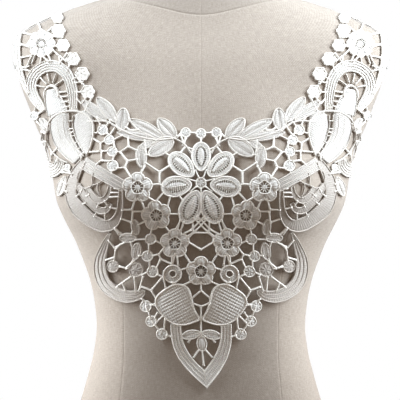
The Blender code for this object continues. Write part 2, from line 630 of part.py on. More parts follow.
def net_bars(outlines, border):
    """Bars of the ground net: the shared edges of neighbouring cells, over both halves."""
    shape, flat, bare = free_raster(outlines, border)
    points = from_chart(flat[bare])
    middles, central = net_cells(points)
    labels = np.zeros(len(flat), dtype=int)
    labels[bare] = nearest(points, middles) + 1
    half = labels.reshape(shape)
    own_mirror = np.concatenate(([True], central))[half]
    full = np.vstack((np.where(own_mirror, half, half + 10000)[::-1], half))
    width = shape[0]
    ends = {}
    for i in range(full.shape[0] - 1):
        for j in range(full.shape[1] - 1):
            corner = {full[i, j], full[i + 1, j], full[i, j + 1], full[i + 1, j + 1]}
            if len(corner) < 3:
                continue
            spot = ((i + 1 - width) * NET_STEP, flat[0, 1] + (j + 0.5) * NET_STEP)
            cells = sorted(corner - {0})
            for a in range(len(cells)):
                for b in range(a + 1, len(cells)):
                    ends.setdefault((cells[a], cells[b]), []).append(spot + (0 in corner,))
    bars = []
    for spots in ends.values():
        spots = np.array(spots)
        apart = np.linalg.norm(spots[:, None, :2] - spots[None, :, :2], axis=-1)
        i, j = np.unravel_index(np.argmax(apart), apart.shape)
        if apart[i, j] < 2.4:
            continue
        a, b = spots[i, :2], spots[j, :2]
        along = (b - a) / apart[i, j]
        a = a - along * (1.8 if spots[i, 2] else 0.3)
        b = b + along * (1.8 if spots[j, 2] else 0.3)
        bars.append(bar(from_chart(np.array((a, b)))))
    return bars


def triangulate(outlines):
    """Constrained triangles of the area round chart outlines: points and triangles."""
    coords, edges = [], []
    for outline in outlines:
        start, count = len(coords), len(outline)
        edges += [(start + i, start + (i + 1) % count) for i in range(count)]
        coords += [Vector((float(x), float(y))) for x, y in outline]
    found = delaunay_2d_cdt(coords, edges, [], 0, 1e-4, False)
    return np.array([(v.x, v.y) for v in found[0]]), np.array(found[2])


def covered(points, outlines):
    """Which points lie in any of the outlines."""
    inside = np.zeros(len(points), dtype=bool)
    for outline in outlines:
        inside |= within(points, outline)
    return inside


def trace_loops(triangles):
    """Boundary loops of a set of triangles, solid on the left."""
    directed = {}
    for a, b, c in triangles.tolist():
        for edge in ((a, b), (b, c), (c, a)):
            directed[edge] = True
    follow = {}
    for a, b in directed:
        if (b, a) not in directed:
            follow.setdefault(a, []).append(b)
    return follow


def walk_loops(follow, points):
    """Chains the boundary edges into loops, keeping gaps apart where two meet at a point."""
    loops = []
    while follow:
        start = next(iter(follow))
        loop, here, before = [start], start, None
        while True:
            choices = follow[here]
            if len(choices) > 1 and before is not None:
                back = points[before] - points[here]
                heading = math.atan2(back[1], back[0])
                ways = [math.atan2(*(points[n] - points[here])[::-1]) for n in choices]
                step = choices.pop(int(np.argmin([(way - heading) % (2 * math.pi) for way in ways])))
            else:
                step = choices.pop()
            if not choices:
                del follow[here]
            before, here = here, step
            if here == start:
                break
            loop.append(here)
        loops.append(loop)
    return loops


def part_pinches(loops, points):
    """Loops as points, each shared point moved 0.4 mm into its own gap so the solid stays joined."""
    uses = {}
    for loop in loops:
        for index in loop:
            uses[index] = uses.get(index, 0) + 1
    out = []
    for loop in loops:
        chain = points[loop]
        moved = chain.copy()
        for k, index in enumerate(loop):
            if uses[index] > 1:
                along = chain[(k + 1) % len(loop)] - chain[k - 1]
                moved[k] += 0.4 * np.array((along[1], -along[0])) / max(np.hypot(*along), 1e-6)
        out.append(moved)
    return out


def fan_area(loop):
    """Signed area of a chart loop and its true size on the skin (mm2)."""
    x, y = loop[:, 0], loop[:, 1]
    signed = 0.5 * np.sum(x * np.roll(y, -1) - y * np.roll(x, -1))
    solid = from_chart(loop)
    centre = solid.mean(0)
    true = 0.5 * np.linalg.norm(np.cross(solid - centre, np.roll(solid, -1, 0) - centre).sum(0))
    return signed, true


def thin_loops(loops, target, least=4):
    """Drops the points that bend their loops least until only the target number stays."""
    solids = [from_chart(loop) for loop in loops]
    before = [np.roll(np.arange(len(s)), 1) for s in solids]
    after = [np.roll(np.arange(len(s)), -1) for s in solids]
    alive = [np.ones(len(s), dtype=bool) for s in solids]
    left = [len(s) for s in solids]

    def bend(k, i):
        a, b, c = solids[k][before[k][i]], solids[k][i], solids[k][after[k][i]]
        return 0.5 * float(np.linalg.norm(np.cross(b - a, c - a)))

    queue = [(bend(k, i), k, i) for k in range(len(solids)) for i in range(len(solids[k]))]
    heapq.heapify(queue)
    total = sum(left)
    while queue and (total > target or queue[0][0] < 0.02):
        value, k, i = heapq.heappop(queue)
        if not alive[k][i] or left[k] <= least or value < bend(k, i) - 1e-9 or value > bend(k, i) + 1e-9:
            continue
        alive[k][i] = False
        left[k] -= 1
        total -= 1
        a, c = before[k][i], after[k][i]
        after[k][a], before[k][c] = c, a
        heapq.heappush(queue, (bend(k, a), k, a))
        heapq.heappush(queue, (bend(k, c), k, c))
    return [loop[mask] for loop, mask in zip(loops, alive)]


def in_loops(points, loops):
    """Which points lie inside the first loop, the outer one, and in no gap."""
    inside = within(points, loops[0])
    for loop in loops[1:]:
        inside &= ~within(points, loop)
    return inside


def charted(motifs, mirrored=False):
    """All outlines of some motifs in chart coordinates."""
    return [outline for motif in motifs for outline in motif.on_chart(mirrored)]


def collar_mesh():
    """Vertices (metres) and faces of the pierced collar wall."""
    motifs = half_motifs()
    cuts = cut_outlines()
    border = on_form(border_line())
    border_chart = to_chart(border)
    border_chart[[0, -1], 0] = 0.0
    edge_cord = border_motif()
    straight = charted(motifs)
    edging = charted(edge_cord)
    gaps = [to_chart(rows) for rows in cuts]
    blocked = straight + edging + gaps
    fan_centre = on_form((FAN[0], FAN[1]))[0]
    blocked.append(to_chart(laid_flat(fan_centre, ring(17.0, 16))))
    bars = net_bars(blocked, border_chart)

    solid = straight + edging + charted(motifs, True) + charted(edge_cord, True) + charted(bars)
    open_ones = gaps + [to_chart(rows, True) for rows in cuts]
    points, triangles = triangulate(solid + open_ones)
    middles = points[triangles].mean(1)
    kept = covered(middles, solid) & ~covered(middles, open_ones)
    loops = part_pinches(walk_loops(trace_loops(triangles[kept]), points), points)
    sized = [(fan_area(loop), loop) for loop in loops]
    outer = max((item for item in sized if item[0][0] > 0), key=lambda item: item[0][1])[1]
    holes = [(true, loop) for (signed, true), loop in sized if signed < 0 and true > SMALLEST_GAP]
    holes = [item for item in holes if within(item[1].mean(0)[None], outer)[0]]
    holes = sorted(holes, key=lambda item: -item[0])
    holes = holes[:MOST_GAPS]
    loops = thin_loops([outer] + [loop for _, loop in holes], EDGE_POINTS)

    raised, heights = [], []
    for motif in motifs:
        for mirrored in (False, True):
            raised.append(to_chart(motif.raised, mirrored))
            heights.append(motif.heights)
    raised, heights = np.vstack(raised), np.concatenate(heights)
    good = clear_of(raised, loops) & in_loops(raised, loops)
    raised, heights = raised[good], heights[good]
    unique = apart_from_each_other(raised, 2.2)
    raised, heights = raised[unique], heights[unique]
    return solid_wall(loops, raised, heights)


def clear_of(points, loops, least=1.4):
    """Which points lie clear of every loop edge."""
    ok = np.ones(len(points), dtype=bool)
    for loop in loops:
        a, b = loop, np.roll(loop, -1, axis=0)
        near = ((points >= loop.min(0) - least) & (points <= loop.max(0) + least)).all(1) & ok
        if not near.any():
            continue
        p = points[near][:, None]
        span = (b - a)[None]
        t = np.clip(((p - a) * span).sum(-1) / np.maximum((span**2).sum(-1), 1e-9), 0, 1)
        gap = np.linalg.norm(p - (a + span * t[..., None]), axis=-1).min(1)
        ok[np.flatnonzero(near)[gap < least]] = False
    return ok


def apart_from_each_other(points, least):
    """Indices of points kept so that no two are nearer than the least distance."""
    kept = []
    for i, point in enumerate(points):
        if all(np.hypot(*(point - points[j])) > least for j in kept):
            kept.append(i)
    return kept


def without_pinches(triangles, solid, points):
    """Solid flags with the smaller side dropped wherever two parts meet only at a point."""
    while True:
        around = {}
        for index in np.flatnonzero(solid):
            for vertex in triangles[index].tolist():
                around.setdefault(vertex, []).append(index)
        dropped = False
        for vertex, members in around.items():
            groups = []
            for index in members:
                others = set(triangles[index].tolist()) - {vertex}
                joined = [g for g in groups if g[0] & others]
                groups = [g for g in groups if not g[0] & others]
                groups.append((set().union(others, *(g[0] for g in joined)),
                               sum((g[1] for g in joined), [index])))
            if len(groups) < 2:
                continue
            sizes = []
            for _, indices in groups:
                a, b, c = (points[triangles[indices, k]] for k in range(3))
                sizes.append(np.abs(np.cross(b - a, c - a)).sum())
            for index in groups[int(np.argmin(sizes))][1]:
                solid[index] = False
            dropped = True
            break
        if not dropped:
            return solid


def solid_wall(loops, raised, heights):
    """Closed wall between the inner skin and the outer one, its raised points in the outer only."""
    coords = [Vector((float(x), float(y))) for loop in loops for x, y in loop]
    edges, start = [], 0
    for loop in loops:
        edges += [(start + i, start + (i + 1) % len(loop)) for i in range(len(loop))]
        start += len(loop)
    coords += [Vector((float(x), float(y))) for x, y in raised]
    found = delaunay_2d_cdt(coords, edges, [], 0, 1e-5, True)
    flat = np.array([(v.x, v.y) for v in found[0]])
    triangles = np.array(found[2])
    solid = in_loops(flat[triangles].mean(1), loops)
    triangles = triangles[without_pinches(triangles, solid, flat)]
    lift = np.zeros(len(flat))
    for index, sources in enumerate(found[3]):
        rows = [s - start for s in sources if s >= start]
        if rows:
            lift[index] = heights[rows[0]]
    base = from_chart(hung(flat))
    out = normals(base)
    inner = base + out * STAND_OFF
    outer = base + out * (STAND_OFF + WALL + lift)[:, None]
    count = len(flat)
    faces = [tuple(int(i) + count for i in t) for t in triangles]
    faces += [tuple(int(i) for i in t[::-1]) for t in triangles]
    open_edges = {}
    for a, b, c in triangles.tolist():
        for edge in ((a, b), (b, c), (c, a)):
            open_edges[edge] = True
    for a, b in list(open_edges):
        if (b, a) not in open_edges:
            faces.append((a, b, b + count, a + count))
    used = sorted({i for face in faces for i in face})
    renumber = {old: new for new, old in enumerate(used)}
    points = np.vstack((inner, outer))[used] * MM
    return points, [tuple(renumber[i] for i in face) for face in faces]


def form_mesh(turns=60):
    """Vertices (metres) and faces of the closed dress form."""
    levels = np.concatenate((np.linspace(0.0, 300.0, 12), np.linspace(318.0, 520.0, 14),
                             (530, 540, 549, 557, 565, 573, 581, 588, 595, 603, 614, 632, 650)))
    turn = 2 * math.pi * np.arange(turns) / turns
    around = turn[None, :] + 0.0 * levels[:, None]
    upright = levels[:, None] + 0.0 * turn[None, :]
    grid = at_radius(form_reach(around, upright), around, upright)
    points = grid.reshape(-1, 3) * MM
    faces = []
    for row in range(len(levels) - 1):
        for i in range(turns):
            j = (i + 1) % turns
            low, high = row * turns, (row + 1) * turns
            faces.append((low + i, low + j, high + j, high + i))
    faces.append(tuple(reversed(range(turns))))
    faces.append(tuple(range((len(levels) - 1) * turns, len(levels) * turns)))
    return points, faces


def add_object(name, points, faces, colour, roughness):
    """A mesh object with its own material."""
    mesh = bpy.data.meshes.new(name)
    mesh.from_pydata([tuple(p) for p in points.tolist()], [], faces)
    mesh.validate()
    mesh.update()
    thing = bpy.data.objects.new(name, mesh)
    bpy.context.collection.objects.link(thing)
    material = bpy.data.materials.new(name)
    material.use_nodes = True
    shader = material.node_tree.nodes["Principled BSDF"]
    shader.inputs["Base Color"].default_value = colour
    shader.inputs["Roughness"].default_value = roughness
    mesh.materials.append(material)
    return thing


for old in list(bpy.data.objects):
    bpy.data.objects.remove(old, do_unlink=True)
add_object("dress_form", *form_mesh(), LINEN, 0.85)
add_object("lace_collar", *collar_mesh(), ASH, 0.7)
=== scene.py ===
"""Guipure lace collar worn on a linen dress form: the finish of every surface.

Metres, +Z up, the form's flat base at z = 0, its front towards -Y. Inside the classes lengths are in
millimetres. Motifs are drawn in pattern millimetres: 'across' from the centre line and 'drop' below a
level 570 mm over the base, on an upright plane 110 mm in front of the axis. They are laid on the form
along lines from a point 1.5 m in front of the axis. Past the shoulder ridge the drop runs on behind it.
"""

import logging
import math
from collections.abc import Callable
from dataclasses import dataclass, field
from enum import Enum
from functools import cached_property
from itertools import combinations

import bpy
import numpy as np
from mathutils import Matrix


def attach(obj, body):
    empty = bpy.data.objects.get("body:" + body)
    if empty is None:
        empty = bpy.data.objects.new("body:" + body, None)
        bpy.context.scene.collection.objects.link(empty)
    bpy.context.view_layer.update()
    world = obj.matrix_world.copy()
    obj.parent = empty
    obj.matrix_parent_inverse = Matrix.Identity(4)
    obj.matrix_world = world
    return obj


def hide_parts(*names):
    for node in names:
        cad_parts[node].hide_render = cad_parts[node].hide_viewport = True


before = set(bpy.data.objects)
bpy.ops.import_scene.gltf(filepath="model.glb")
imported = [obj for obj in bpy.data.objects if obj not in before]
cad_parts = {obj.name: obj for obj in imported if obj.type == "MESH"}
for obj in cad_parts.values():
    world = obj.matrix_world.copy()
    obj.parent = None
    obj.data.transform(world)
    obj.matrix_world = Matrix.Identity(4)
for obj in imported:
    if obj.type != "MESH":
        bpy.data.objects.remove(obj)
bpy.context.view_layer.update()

log = logging.getLogger("lace_collar")

Array = np.ndarray
Rows = tuple[tuple[float, ...], ...]
Pair = tuple[float, float]
Triple = tuple[float, float, float]
Piece = bpy.types.Object
Socket = bpy.types.NodeSocket

MM = 0.001
STAND_OFF = 0.9
# Swells of a skin: turn of the middle (degrees), height, swell, spread round (degrees), up, down. The cloth
# has two more than the form, where it hangs free between the busts and below them.
BUST: Rows = ((37, 384, 22, 15, 50, 30),)
DRAPE: Rows = ((0, 305, 9, 32, 35, 55), (0, 385, 5, 12, 35, 35))
# The tip hangs a little to one side below this height, by this much times the square of the distance.
TIP_LEVEL, TIP_LEAN = 250.0, 0.0012
# Places across a cord, from edge to edge, and the share of its height there.
CORD = ((-1.0, 0.25), (-0.62, 0.85), (0.0, 1.0), (0.62, 0.85), (1.0, 0.25))
BODY = "root"


class Thread(Enum):
    """Which way the satin threads run over a band."""

    ACROSS = "square to its length"
    SLANT = "all at one slant"


def arc_length(points: Array) -> Array:
    """Length of the line through points (n, k), from the first of them to each."""
    return np.concatenate(([0.0], np.cumsum(np.linalg.norm(np.diff(points, axis=0), axis=1))))


def unit(vectors: Array) -> Array:
    """Vectors scaled to length 1 along the last axis."""
    return vectors / np.maximum(np.linalg.norm(vectors, axis=-1, keepdims=True), 1e-9)


def on_centre(points: Array) -> bool:
    """Whether points stand on the centre line, within 0.3 mm on average."""
    return abs(points[:, 0].mean()) < 0.3


def fade(value: Array) -> Array:
    """A soft step down from 1 to 0: 1 / (1 + exp(value))."""
    return 1 / (1 + np.exp(np.clip(value, -40.0, 40.0)))


def bell(value: Array) -> Array:
    """A soft bump: exp(-value^2)."""
    return np.exp(-(value**2))


def bearing(degrees: float) -> Array:
    """Unit pattern vector at an angle from the side, 90 degrees being upwards."""
    return np.array((math.cos(math.radians(degrees)), -math.sin(math.radians(degrees))))


def spread(points: Array, step: float, closed: bool = False) -> Array:
    """Catmull-Rom curve through points, sampled again at even arc length.

    Between b and c the curve is 0.5 (2b + (c-a)t + (2a-5b+4c-d)t^2 + (3b-a-3c+d)t^3).

    Args:
        points: Points (n, k) that the curve passes through; the first two columns are its place.
        step: Wanted spacing of the samples in millimetres.
        closed: Whether the curve runs back to its first point, which isn't repeated.

    Returns:
        Samples (m, k); of a closed curve the first sample isn't repeated at the end.
    """
    points = np.asarray(points, dtype=float)
    if closed:
        padded = np.vstack((points[-1:], points, points[:2]))
    else:
        padded = np.vstack((2 * points[0] - points[1], points, 2 * points[-1] - points[-2]))
    a, b, c, d = padded[:-3], padded[1:-2], padded[2:-1], padded[3:]
    t = np.linspace(0.0, 1.0, 25)[:-1, None, None]
    fine = 0.5 * (2 * b + (c - a) * t + (2 * a - 5 * b + 4 * c - d) * t**2 + (3 * b - a - 3 * c + d) * t**3)
    fine = np.swapaxes(fine, 0, 1).reshape(-1, points.shape[1])
    fine = np.vstack((fine, fine[:1] if closed else points[-1:]))
    length = arc_length(fine[:, :2])
    count = max(3 if closed else 2, int(round(length[-1] / step)) + 1)
    stations = np.linspace(0.0, length[-1], count)[:-1 if closed else None]
    return np.stack([np.interp(stations, length, column) for column in fine.T], axis=-1)


def circle(across: float, drop: float, radius: float, count: int) -> Array:
    """Pattern points (count, 2) evenly round a circle."""
    angle = 2 * math.pi * np.arange(count) / count
    return np.stack((across + radius * np.cos(angle), drop - radius * np.sin(angle)), axis=-1)


def leaf_outline(length: float, width: float, count: int, fullness: float, skew: float = 1.0) -> Array:
    """Closed outline from (0, 0) to (length, 0): half width = width/2 sin(pi t^skew)^fullness, t along it."""
    t = 0.5 - 0.5 * np.cos(np.linspace(0.0, math.pi, count + 1))
    half = 0.5 * width * np.clip(np.sin(math.pi * t**skew), 0.0, 1.0) ** fullness
    upper = np.stack((length * t, half), axis=-1)
    lower = np.stack((length * t[1:-1], -half[1:-1]), axis=-1)[::-1]
    return np.vstack((upper, lower))


def placed(local: Array, base: Array, heading: Array) -> Array:
    """Pattern points of local (along, aside) offsets from a base point along a heading."""
    side = np.array((-heading[1], heading[0]))
    return base + local[..., :1] * heading + local[..., 1:] * side


def inside_of(points: Array, polygon: Array) -> Array:
    """Which points (n, 2) lie in a polygon (m, 2), by the even-odd rule on whole arrays."""
    inside = np.zeros(len(points), dtype=bool)
    box = ((points >= polygon.min(0)) & (points <= polygon.max(0))).all(1)
    x, y = points[box, 0][:, None], points[box, 1][:, None]
    x0, y0 = polygon[:, 0], polygon[:, 1]
    x1, y1 = np.roll(x0, -1), np.roll(y0, -1)
    rise = np.where(y0 == y1, 1.0, y1 - y0)
    hits = ((y0 > y) != (y1 > y)) & (x < x0 + (y - y0) * (x1 - x0) / rise)
    inside[box] = hits.sum(1) % 2 == 1
    return inside


@dataclass
class Skin:
    """The dress form's skin, r(turn, z) = oval of the section at z plus the swells.

    The oval is ((|sin turn| / width)^n + (|cos turn| / depth)^n)^(-1/n); a swell is a Gaussian of the turn
    and the height.
    """

    swells: Rows = BUST

    # Height, half width, front depth, back depth, squareness of the oval.
    sections: Rows = (
        (0, 158, 98, 112, 2.35), (60, 156, 98, 114, 2.35), (110, 144, 96, 106, 2.35), (154, 129.5, 92, 94, 2.3),
        (187, 120, 88, 84, 2.3), (208, 115, 86, 78, 2.3), (235, 112, 86, 75, 2.3), (262, 114.4, 88, 76, 2.3),
        (284, 119, 90, 79, 2.35), (305, 126, 93, 83, 2.4), (327, 135, 97, 87, 2.4), (348, 145.7, 101, 91, 2.4),
        (370, 154.8, 104, 94, 2.4), (392, 158.5, 104.5, 97, 2.4), (424, 164.5, 102, 99, 2.45),
        (445, 175, 99, 100, 2.45), (467, 183.5, 95, 100, 2.5), (489, 192, 90, 99, 2.5), (510, 198, 84.5, 97, 2.5),
        (521, 200, 81, 95, 2.45), (532, 200.7, 77, 92, 2.35), (543, 197, 73, 88, 2.2), (553, 186, 69.5, 84, 2.05),
        (564, 164.5, 66, 79, 1.95), (575, 140, 62.5, 74, 1.9), (586, 104, 59, 67, 1.95), (598, 70, 57, 60, 2),
        (612, 59.5, 55.5, 57.5, 2), (630, 57, 54.5, 56, 2), (650, 57, 54.5, 56, 2),
    )
    top: float = 650.0
    # Where the lines of sight start, and the pattern plane that they pass through.
    eye: Triple = (0.0, -1500.0, 370.0)
    plane_y: float = -110.0
    datum: float = 570.0
    # Part of each line that is searched for the skin, as shares of the way to the plane.
    sight: Pair = (0.955, 1.09)
    sight_steps: int = 110
    # The raster of pattern points that are looked up, and where it passes the shoulder ridge.
    raster: float = 1.5
    last_across: float = 196.0
    drops: Pair = (-9.0, 399.0)
    ridge_across: float = 118.0
    # Heights between which the skin behind the ridge is looked for.
    ridge_span: Pair = (430.0, 645.0)

    @cached_property
    def fine(self) -> tuple[Array, Array]:
        """Section values every half millimetre, by the monotone cubic through the table.

        The tangent at a row is the weighted harmonic mean of the slopes on both sides, and 0 where they
        differ in sign.

        Returns:
            The heights (n,) and the four columns (4, n).
        """
        table = np.array(self.sections, dtype=float)
        knots, values = table[:, 0], table[:, 1:].T
        heights = np.arange(0.0, self.top + 0.25, 0.5)
        step = np.diff(knots)
        slope = np.diff(values, axis=1) / step
        before, after = slope[:, :-1], slope[:, 1:]
        w1, w2 = 2 * step[1:] + step[:-1], step[1:] + 2 * step[:-1]
        same = before * after > 0
        mean = (w1 + w2) / (w1 / np.where(same, before, 1.0) + w2 / np.where(same, after, 1.0))
        tangent = np.hstack((slope[:, :1], np.where(same, mean, 0.0), slope[:, -1:]))
        k = np.clip(np.searchsorted(knots, heights, side="right") - 1, 0, len(step) - 1)
        t, h = (heights - knots[k]) / step[k], step[k]
        fine = ((2 * t**3 - 3 * t**2 + 1) * values[:, k] + (t**3 - 2 * t**2 + t) * h * tangent[:, k]
                + (3 * t**2 - 2 * t**3) * values[:, k + 1] + (t**3 - t**2) * h * tangent[:, k + 1])
        return heights, fine

    def reach(self, turn: Array, height: Array) -> Array:
        """Distance of the skin from the axis at a turn from the front (radians) and a height."""
        heights, columns = self.fine
        width, front, back, power = (np.interp(height, heights, column) for column in columns)
        sine, cosine = np.abs(np.sin(turn)), np.cos(turn)
        depth = np.where(cosine > 0, front, back)
        radius = ((sine / width) ** power + (np.abs(cosine) / depth) ** power) ** (-1.0 / power)
        for middle, level, swell, around, upper, lower in self.swells:
            sideways = (np.degrees(np.abs(turn)) - middle) / around
            upright = (height - level) / np.where(height > level, upper, lower)
            radius = radius + swell * np.exp(-0.5 * (sideways**2 + upright**2))
        return radius

    def at(self, turn: Array, height: Array) -> Array:
        """Skin points (..., 3) at a turn and a height."""
        radius = self.reach(turn, height)
        return np.stack((radius * np.sin(turn), -radius * np.cos(turn), height + 0.0 * radius), axis=-1)

    def outside(self, points: Array) -> Array:
        """How far points lie outside the skin, measured level."""
        turn = np.arctan2(points[..., 0], -points[..., 1])
        return np.hypot(points[..., 0], points[..., 1]) - self.reach(turn, points[..., 2])

    def gradient(self, points: Array) -> Array:
        """Gradient of outside() by central differences of 0.6 mm."""
        steps = 0.6 * np.eye(3)
        return np.stack([(self.outside(points + s) - self.outside(points - s)) / 1.2 for s in steps], axis=-1)

    def normals(self, points: Array) -> Array:
        """Unit outward normals of the skin."""
        return unit(self.gradient(points))

    def settle(self, points: Array, rounds: int = 3) -> Array:
        """Points moved onto the skin along its normals by Newton steps."""
        for _ in range(rounds):
            gradient = self.gradient(points)
            share = self.outside(points) / np.sum(gradient**2, axis=-1)
            points = points - gradient * share[..., None]
        return points

    def sighted(self, across: Array, drop: Array) -> tuple[Array, Array]:
        """Where lines from the eye through pattern points first meet the skin.

        Args:
            across: Pattern across of each line.
            drop: Pattern drop of each line.

        Returns:
            The skin points (n, 3), and which lines miss it; a missing line gives its nearest point.
        """
        eye = np.array(self.eye)
        aim = np.stack((across, np.full_like(across, self.plane_y), self.datum - drop), axis=-1)
        heading = aim - eye
        shares = np.linspace(*self.sight, self.sight_steps)
        gap = self.outside(eye + heading[:, None, :] * shares[None, :, None])
        met = gap < 0
        missed = ~met.any(axis=1)
        first = np.where(missed, np.argmin(gap, axis=1), np.argmax(met, axis=1))
        rows, before = np.arange(len(across)), np.maximum(first - 1, 0)
        g0, g1 = gap[rows, before], gap[rows, first]
        part = np.where(missed | (g0 == g1), 1.0, g0 / np.where(g0 == g1, 1.0, g0 - g1))
        at = shares[before] + (shares[first] - shares[before]) * np.clip(part, 0.0, 1.0)
        return self.settle(eye + heading * at[:, None]), missed

    @cached_property
    def table(self) -> Array:
        """Skin points under a raster of pattern points, and behind the shoulder ridge where it is passed."""
        across = np.arange(0.0, self.last_across, self.raster)
        drop = np.arange(*self.drops, self.raster)
        grid = np.stack(np.meshgrid(across, drop, indexing="ij"), axis=-1).reshape(-1, 2)
        table = self.sighted(grid[:, 0], grid[:, 1])[0].reshape(len(across), len(drop), 3)
        for column in np.flatnonzero(across >= self.ridge_across):
            trial = np.arange(-6.0, 80.0, 0.5)
            points, missed = self.sighted(np.full_like(trial, across[column]), trial)
            seen = int(np.argmax(~missed))
            behind = trial[seen] - drop
            track = self.track_behind(points[seen])
            far, length = behind > 0, np.arange(len(track))
            table[column, far] = np.stack([np.interp(behind[far], length, axis) for axis in track.T], axis=-1)
        return table

    def track_behind(self, start: Array) -> Array:
        """Skin points every millimetre of arc straight back from a point of the ridge, by bisection."""
        y = start[1] + np.arange(0.0, 70.0, 1.0)
        low, high = (np.full_like(y, height) for height in self.ridge_span)
        for _ in range(30):
            middle = 0.5 * (low + high)
            out = self.outside(np.stack((np.full_like(y, start[0]), y, middle), axis=-1)) > 0
            high = np.where(out, middle, high)
            low = np.where(out, low, middle)
        length = arc_length(np.stack((y, low), axis=-1))
        stations = np.arange(60.0)
        return np.stack((np.full_like(stations, start[0]), np.interp(stations, length, y),
                         np.interp(stations, length, low)), axis=-1)

    def lay(self, pattern: Array) -> Array:
        """Skin points under pattern points (..., 2), bilinear in the table, the other half mirrored."""
        across, drop = pattern[..., 0], pattern[..., 1]
        column = np.clip(np.abs(across) / self.raster, 0, self.table.shape[0] - 1.001)
        row = np.clip((drop - self.drops[0]) / self.raster, 0, self.table.shape[1] - 1.001)
        i, j = column.astype(int), row.astype(int)
        a, b = (column - i)[..., None], (row - j)[..., None]
        t = self.table
        points = ((t[i, j] * (1 - b) + t[i, j + 1] * b) * (1 - a) + (t[i + 1, j] * (1 - b) + t[i + 1, j + 1] * b) * a)
        points[..., 0] *= np.where(across < 0, -1.0, 1.0)
        return points


@dataclass
class Work:
    """Closed bodies of thread, kept as skin points and lifts until the whole piece is laid on the form."""

    name: str
    # Columns of a row: skin point (3), lift, thread coordinate (2), tone, painted light.
    rows: list[Array] = field(default_factory=list)
    loops: list[Array] = field(default_factory=list)
    sizes: list[Array] = field(default_factory=list)
    count: int = 0
    # Painted light of the bodies being added: below 1 their colour gets painted shade.
    painted_light: float = 1.0

    def add(self, base: Array, lift: Array, thread: Array, faces: list[Array]) -> None:
        """Adds a body, and its mirror image unless it stands on the centre line.

        Its tone, from 0 to 1, is the fraction of 43758.5453 sin(12.9898 count).

        Args:
            base: Skin points (n, 3).
            lift: Heights over the inner face (n,).
            thread: Thread coordinates (n, 2) in millimetres, the first across the threads.
            faces: Arrays of corner indices (faces, corners).
        """
        tone = (math.sin(self.count * 12.9898) * 43758.5453) % 1.0
        look = np.tile((tone, self.painted_light), (len(lift), 1))
        for side in (1.0,) if on_centre(base) else (1.0, -1.0):
            self.rows.append(np.column_stack((base * (side, 1.0, 1.0), lift, thread, look)))
            for group in faces:
                turned = group if side > 0 else group[:, ::-1]
                self.loops.append((turned + self.count).ravel())
                self.sizes.append(np.full(len(group), group.shape[1]))
            self.count += len(lift)

    def finish(self, skin: Skin, material: bpy.types.Material) -> Piece:
        """Lays all bodies on the form and makes them one object.

        Below TIP_LEVEL the tip hangs a little to one side: x grows by TIP_LEAN (TIP_LEVEL - z)^2. Each point
        is then skin point + normal (stand-off + lift).

        Args:
            skin: The form's skin.
            material: The finish of the piece.

        Returns:
            The new object.
        """
        rows, loops = np.vstack(self.rows), np.concatenate(self.loops)
        base, lift, thread, tone, painted_light = np.split(rows, (3, 4, 6, 7), axis=1)
        lean = TIP_LEAN * np.maximum(0.0, TIP_LEVEL - base[:, 2:]) ** 2
        base = skin.settle(base + lean * (1.0, 0.0, 0.0))
        points = base + skin.normals(base) * (STAND_OFF + lift)
        return new_mesh(self.name, points, loops, np.concatenate(self.sizes), thread[loops], material,
                        {"tone": tone, "lift": lift, "painted_light": painted_light})


def new_mesh(name: str, points: Array, loops: Array, sizes: Array, thread: Array, material: bpy.types.Material,
             values: dict[str, Array]) -> Piece:
    """A smooth-shaded mesh object from whole arrays.

    Args:
        name: Name of the object.
        points: Vertices (n, 3) in millimetres.
        loops: Corner indices of all faces, one after another.
        sizes: Corners of each face.
        thread: UV coordinate of each corner.
        material: Finish of all faces.
        values: Column of the vertices' values, by the names that the material reads.

    Returns:
        The new object.
    """
    mesh = bpy.data.meshes.new(name)
    mesh.vertices.add(len(points))
    mesh.vertices.foreach_set("co", (points * MM).astype(np.float32).ravel())
    mesh.loops.add(len(loops))
    mesh.loops.foreach_set("vertex_index", loops.astype(np.int32))
    mesh.polygons.add(len(sizes))
    starts = np.concatenate(([0], np.cumsum(sizes)[:-1]))
    mesh.polygons.foreach_set("loop_start", starts.astype(np.int32))
    mesh.polygons.foreach_set("use_smooth", np.ones(len(sizes), dtype=bool))
    mesh.update(calc_edges=True)
    layer = mesh.uv_layers.new(name="thread")
    layer.data.foreach_set("uv", thread.astype(np.float32).ravel())
    mesh.validate()
    for key, column in values.items():
        mesh.attributes.new(key, "FLOAT", "POINT").data.foreach_set("value", column.ravel().astype(np.float32))
    mesh.materials.append(material)
    piece = bpy.data.objects.new(name, mesh)
    bpy.context.collection.objects.link(piece)
    return piece


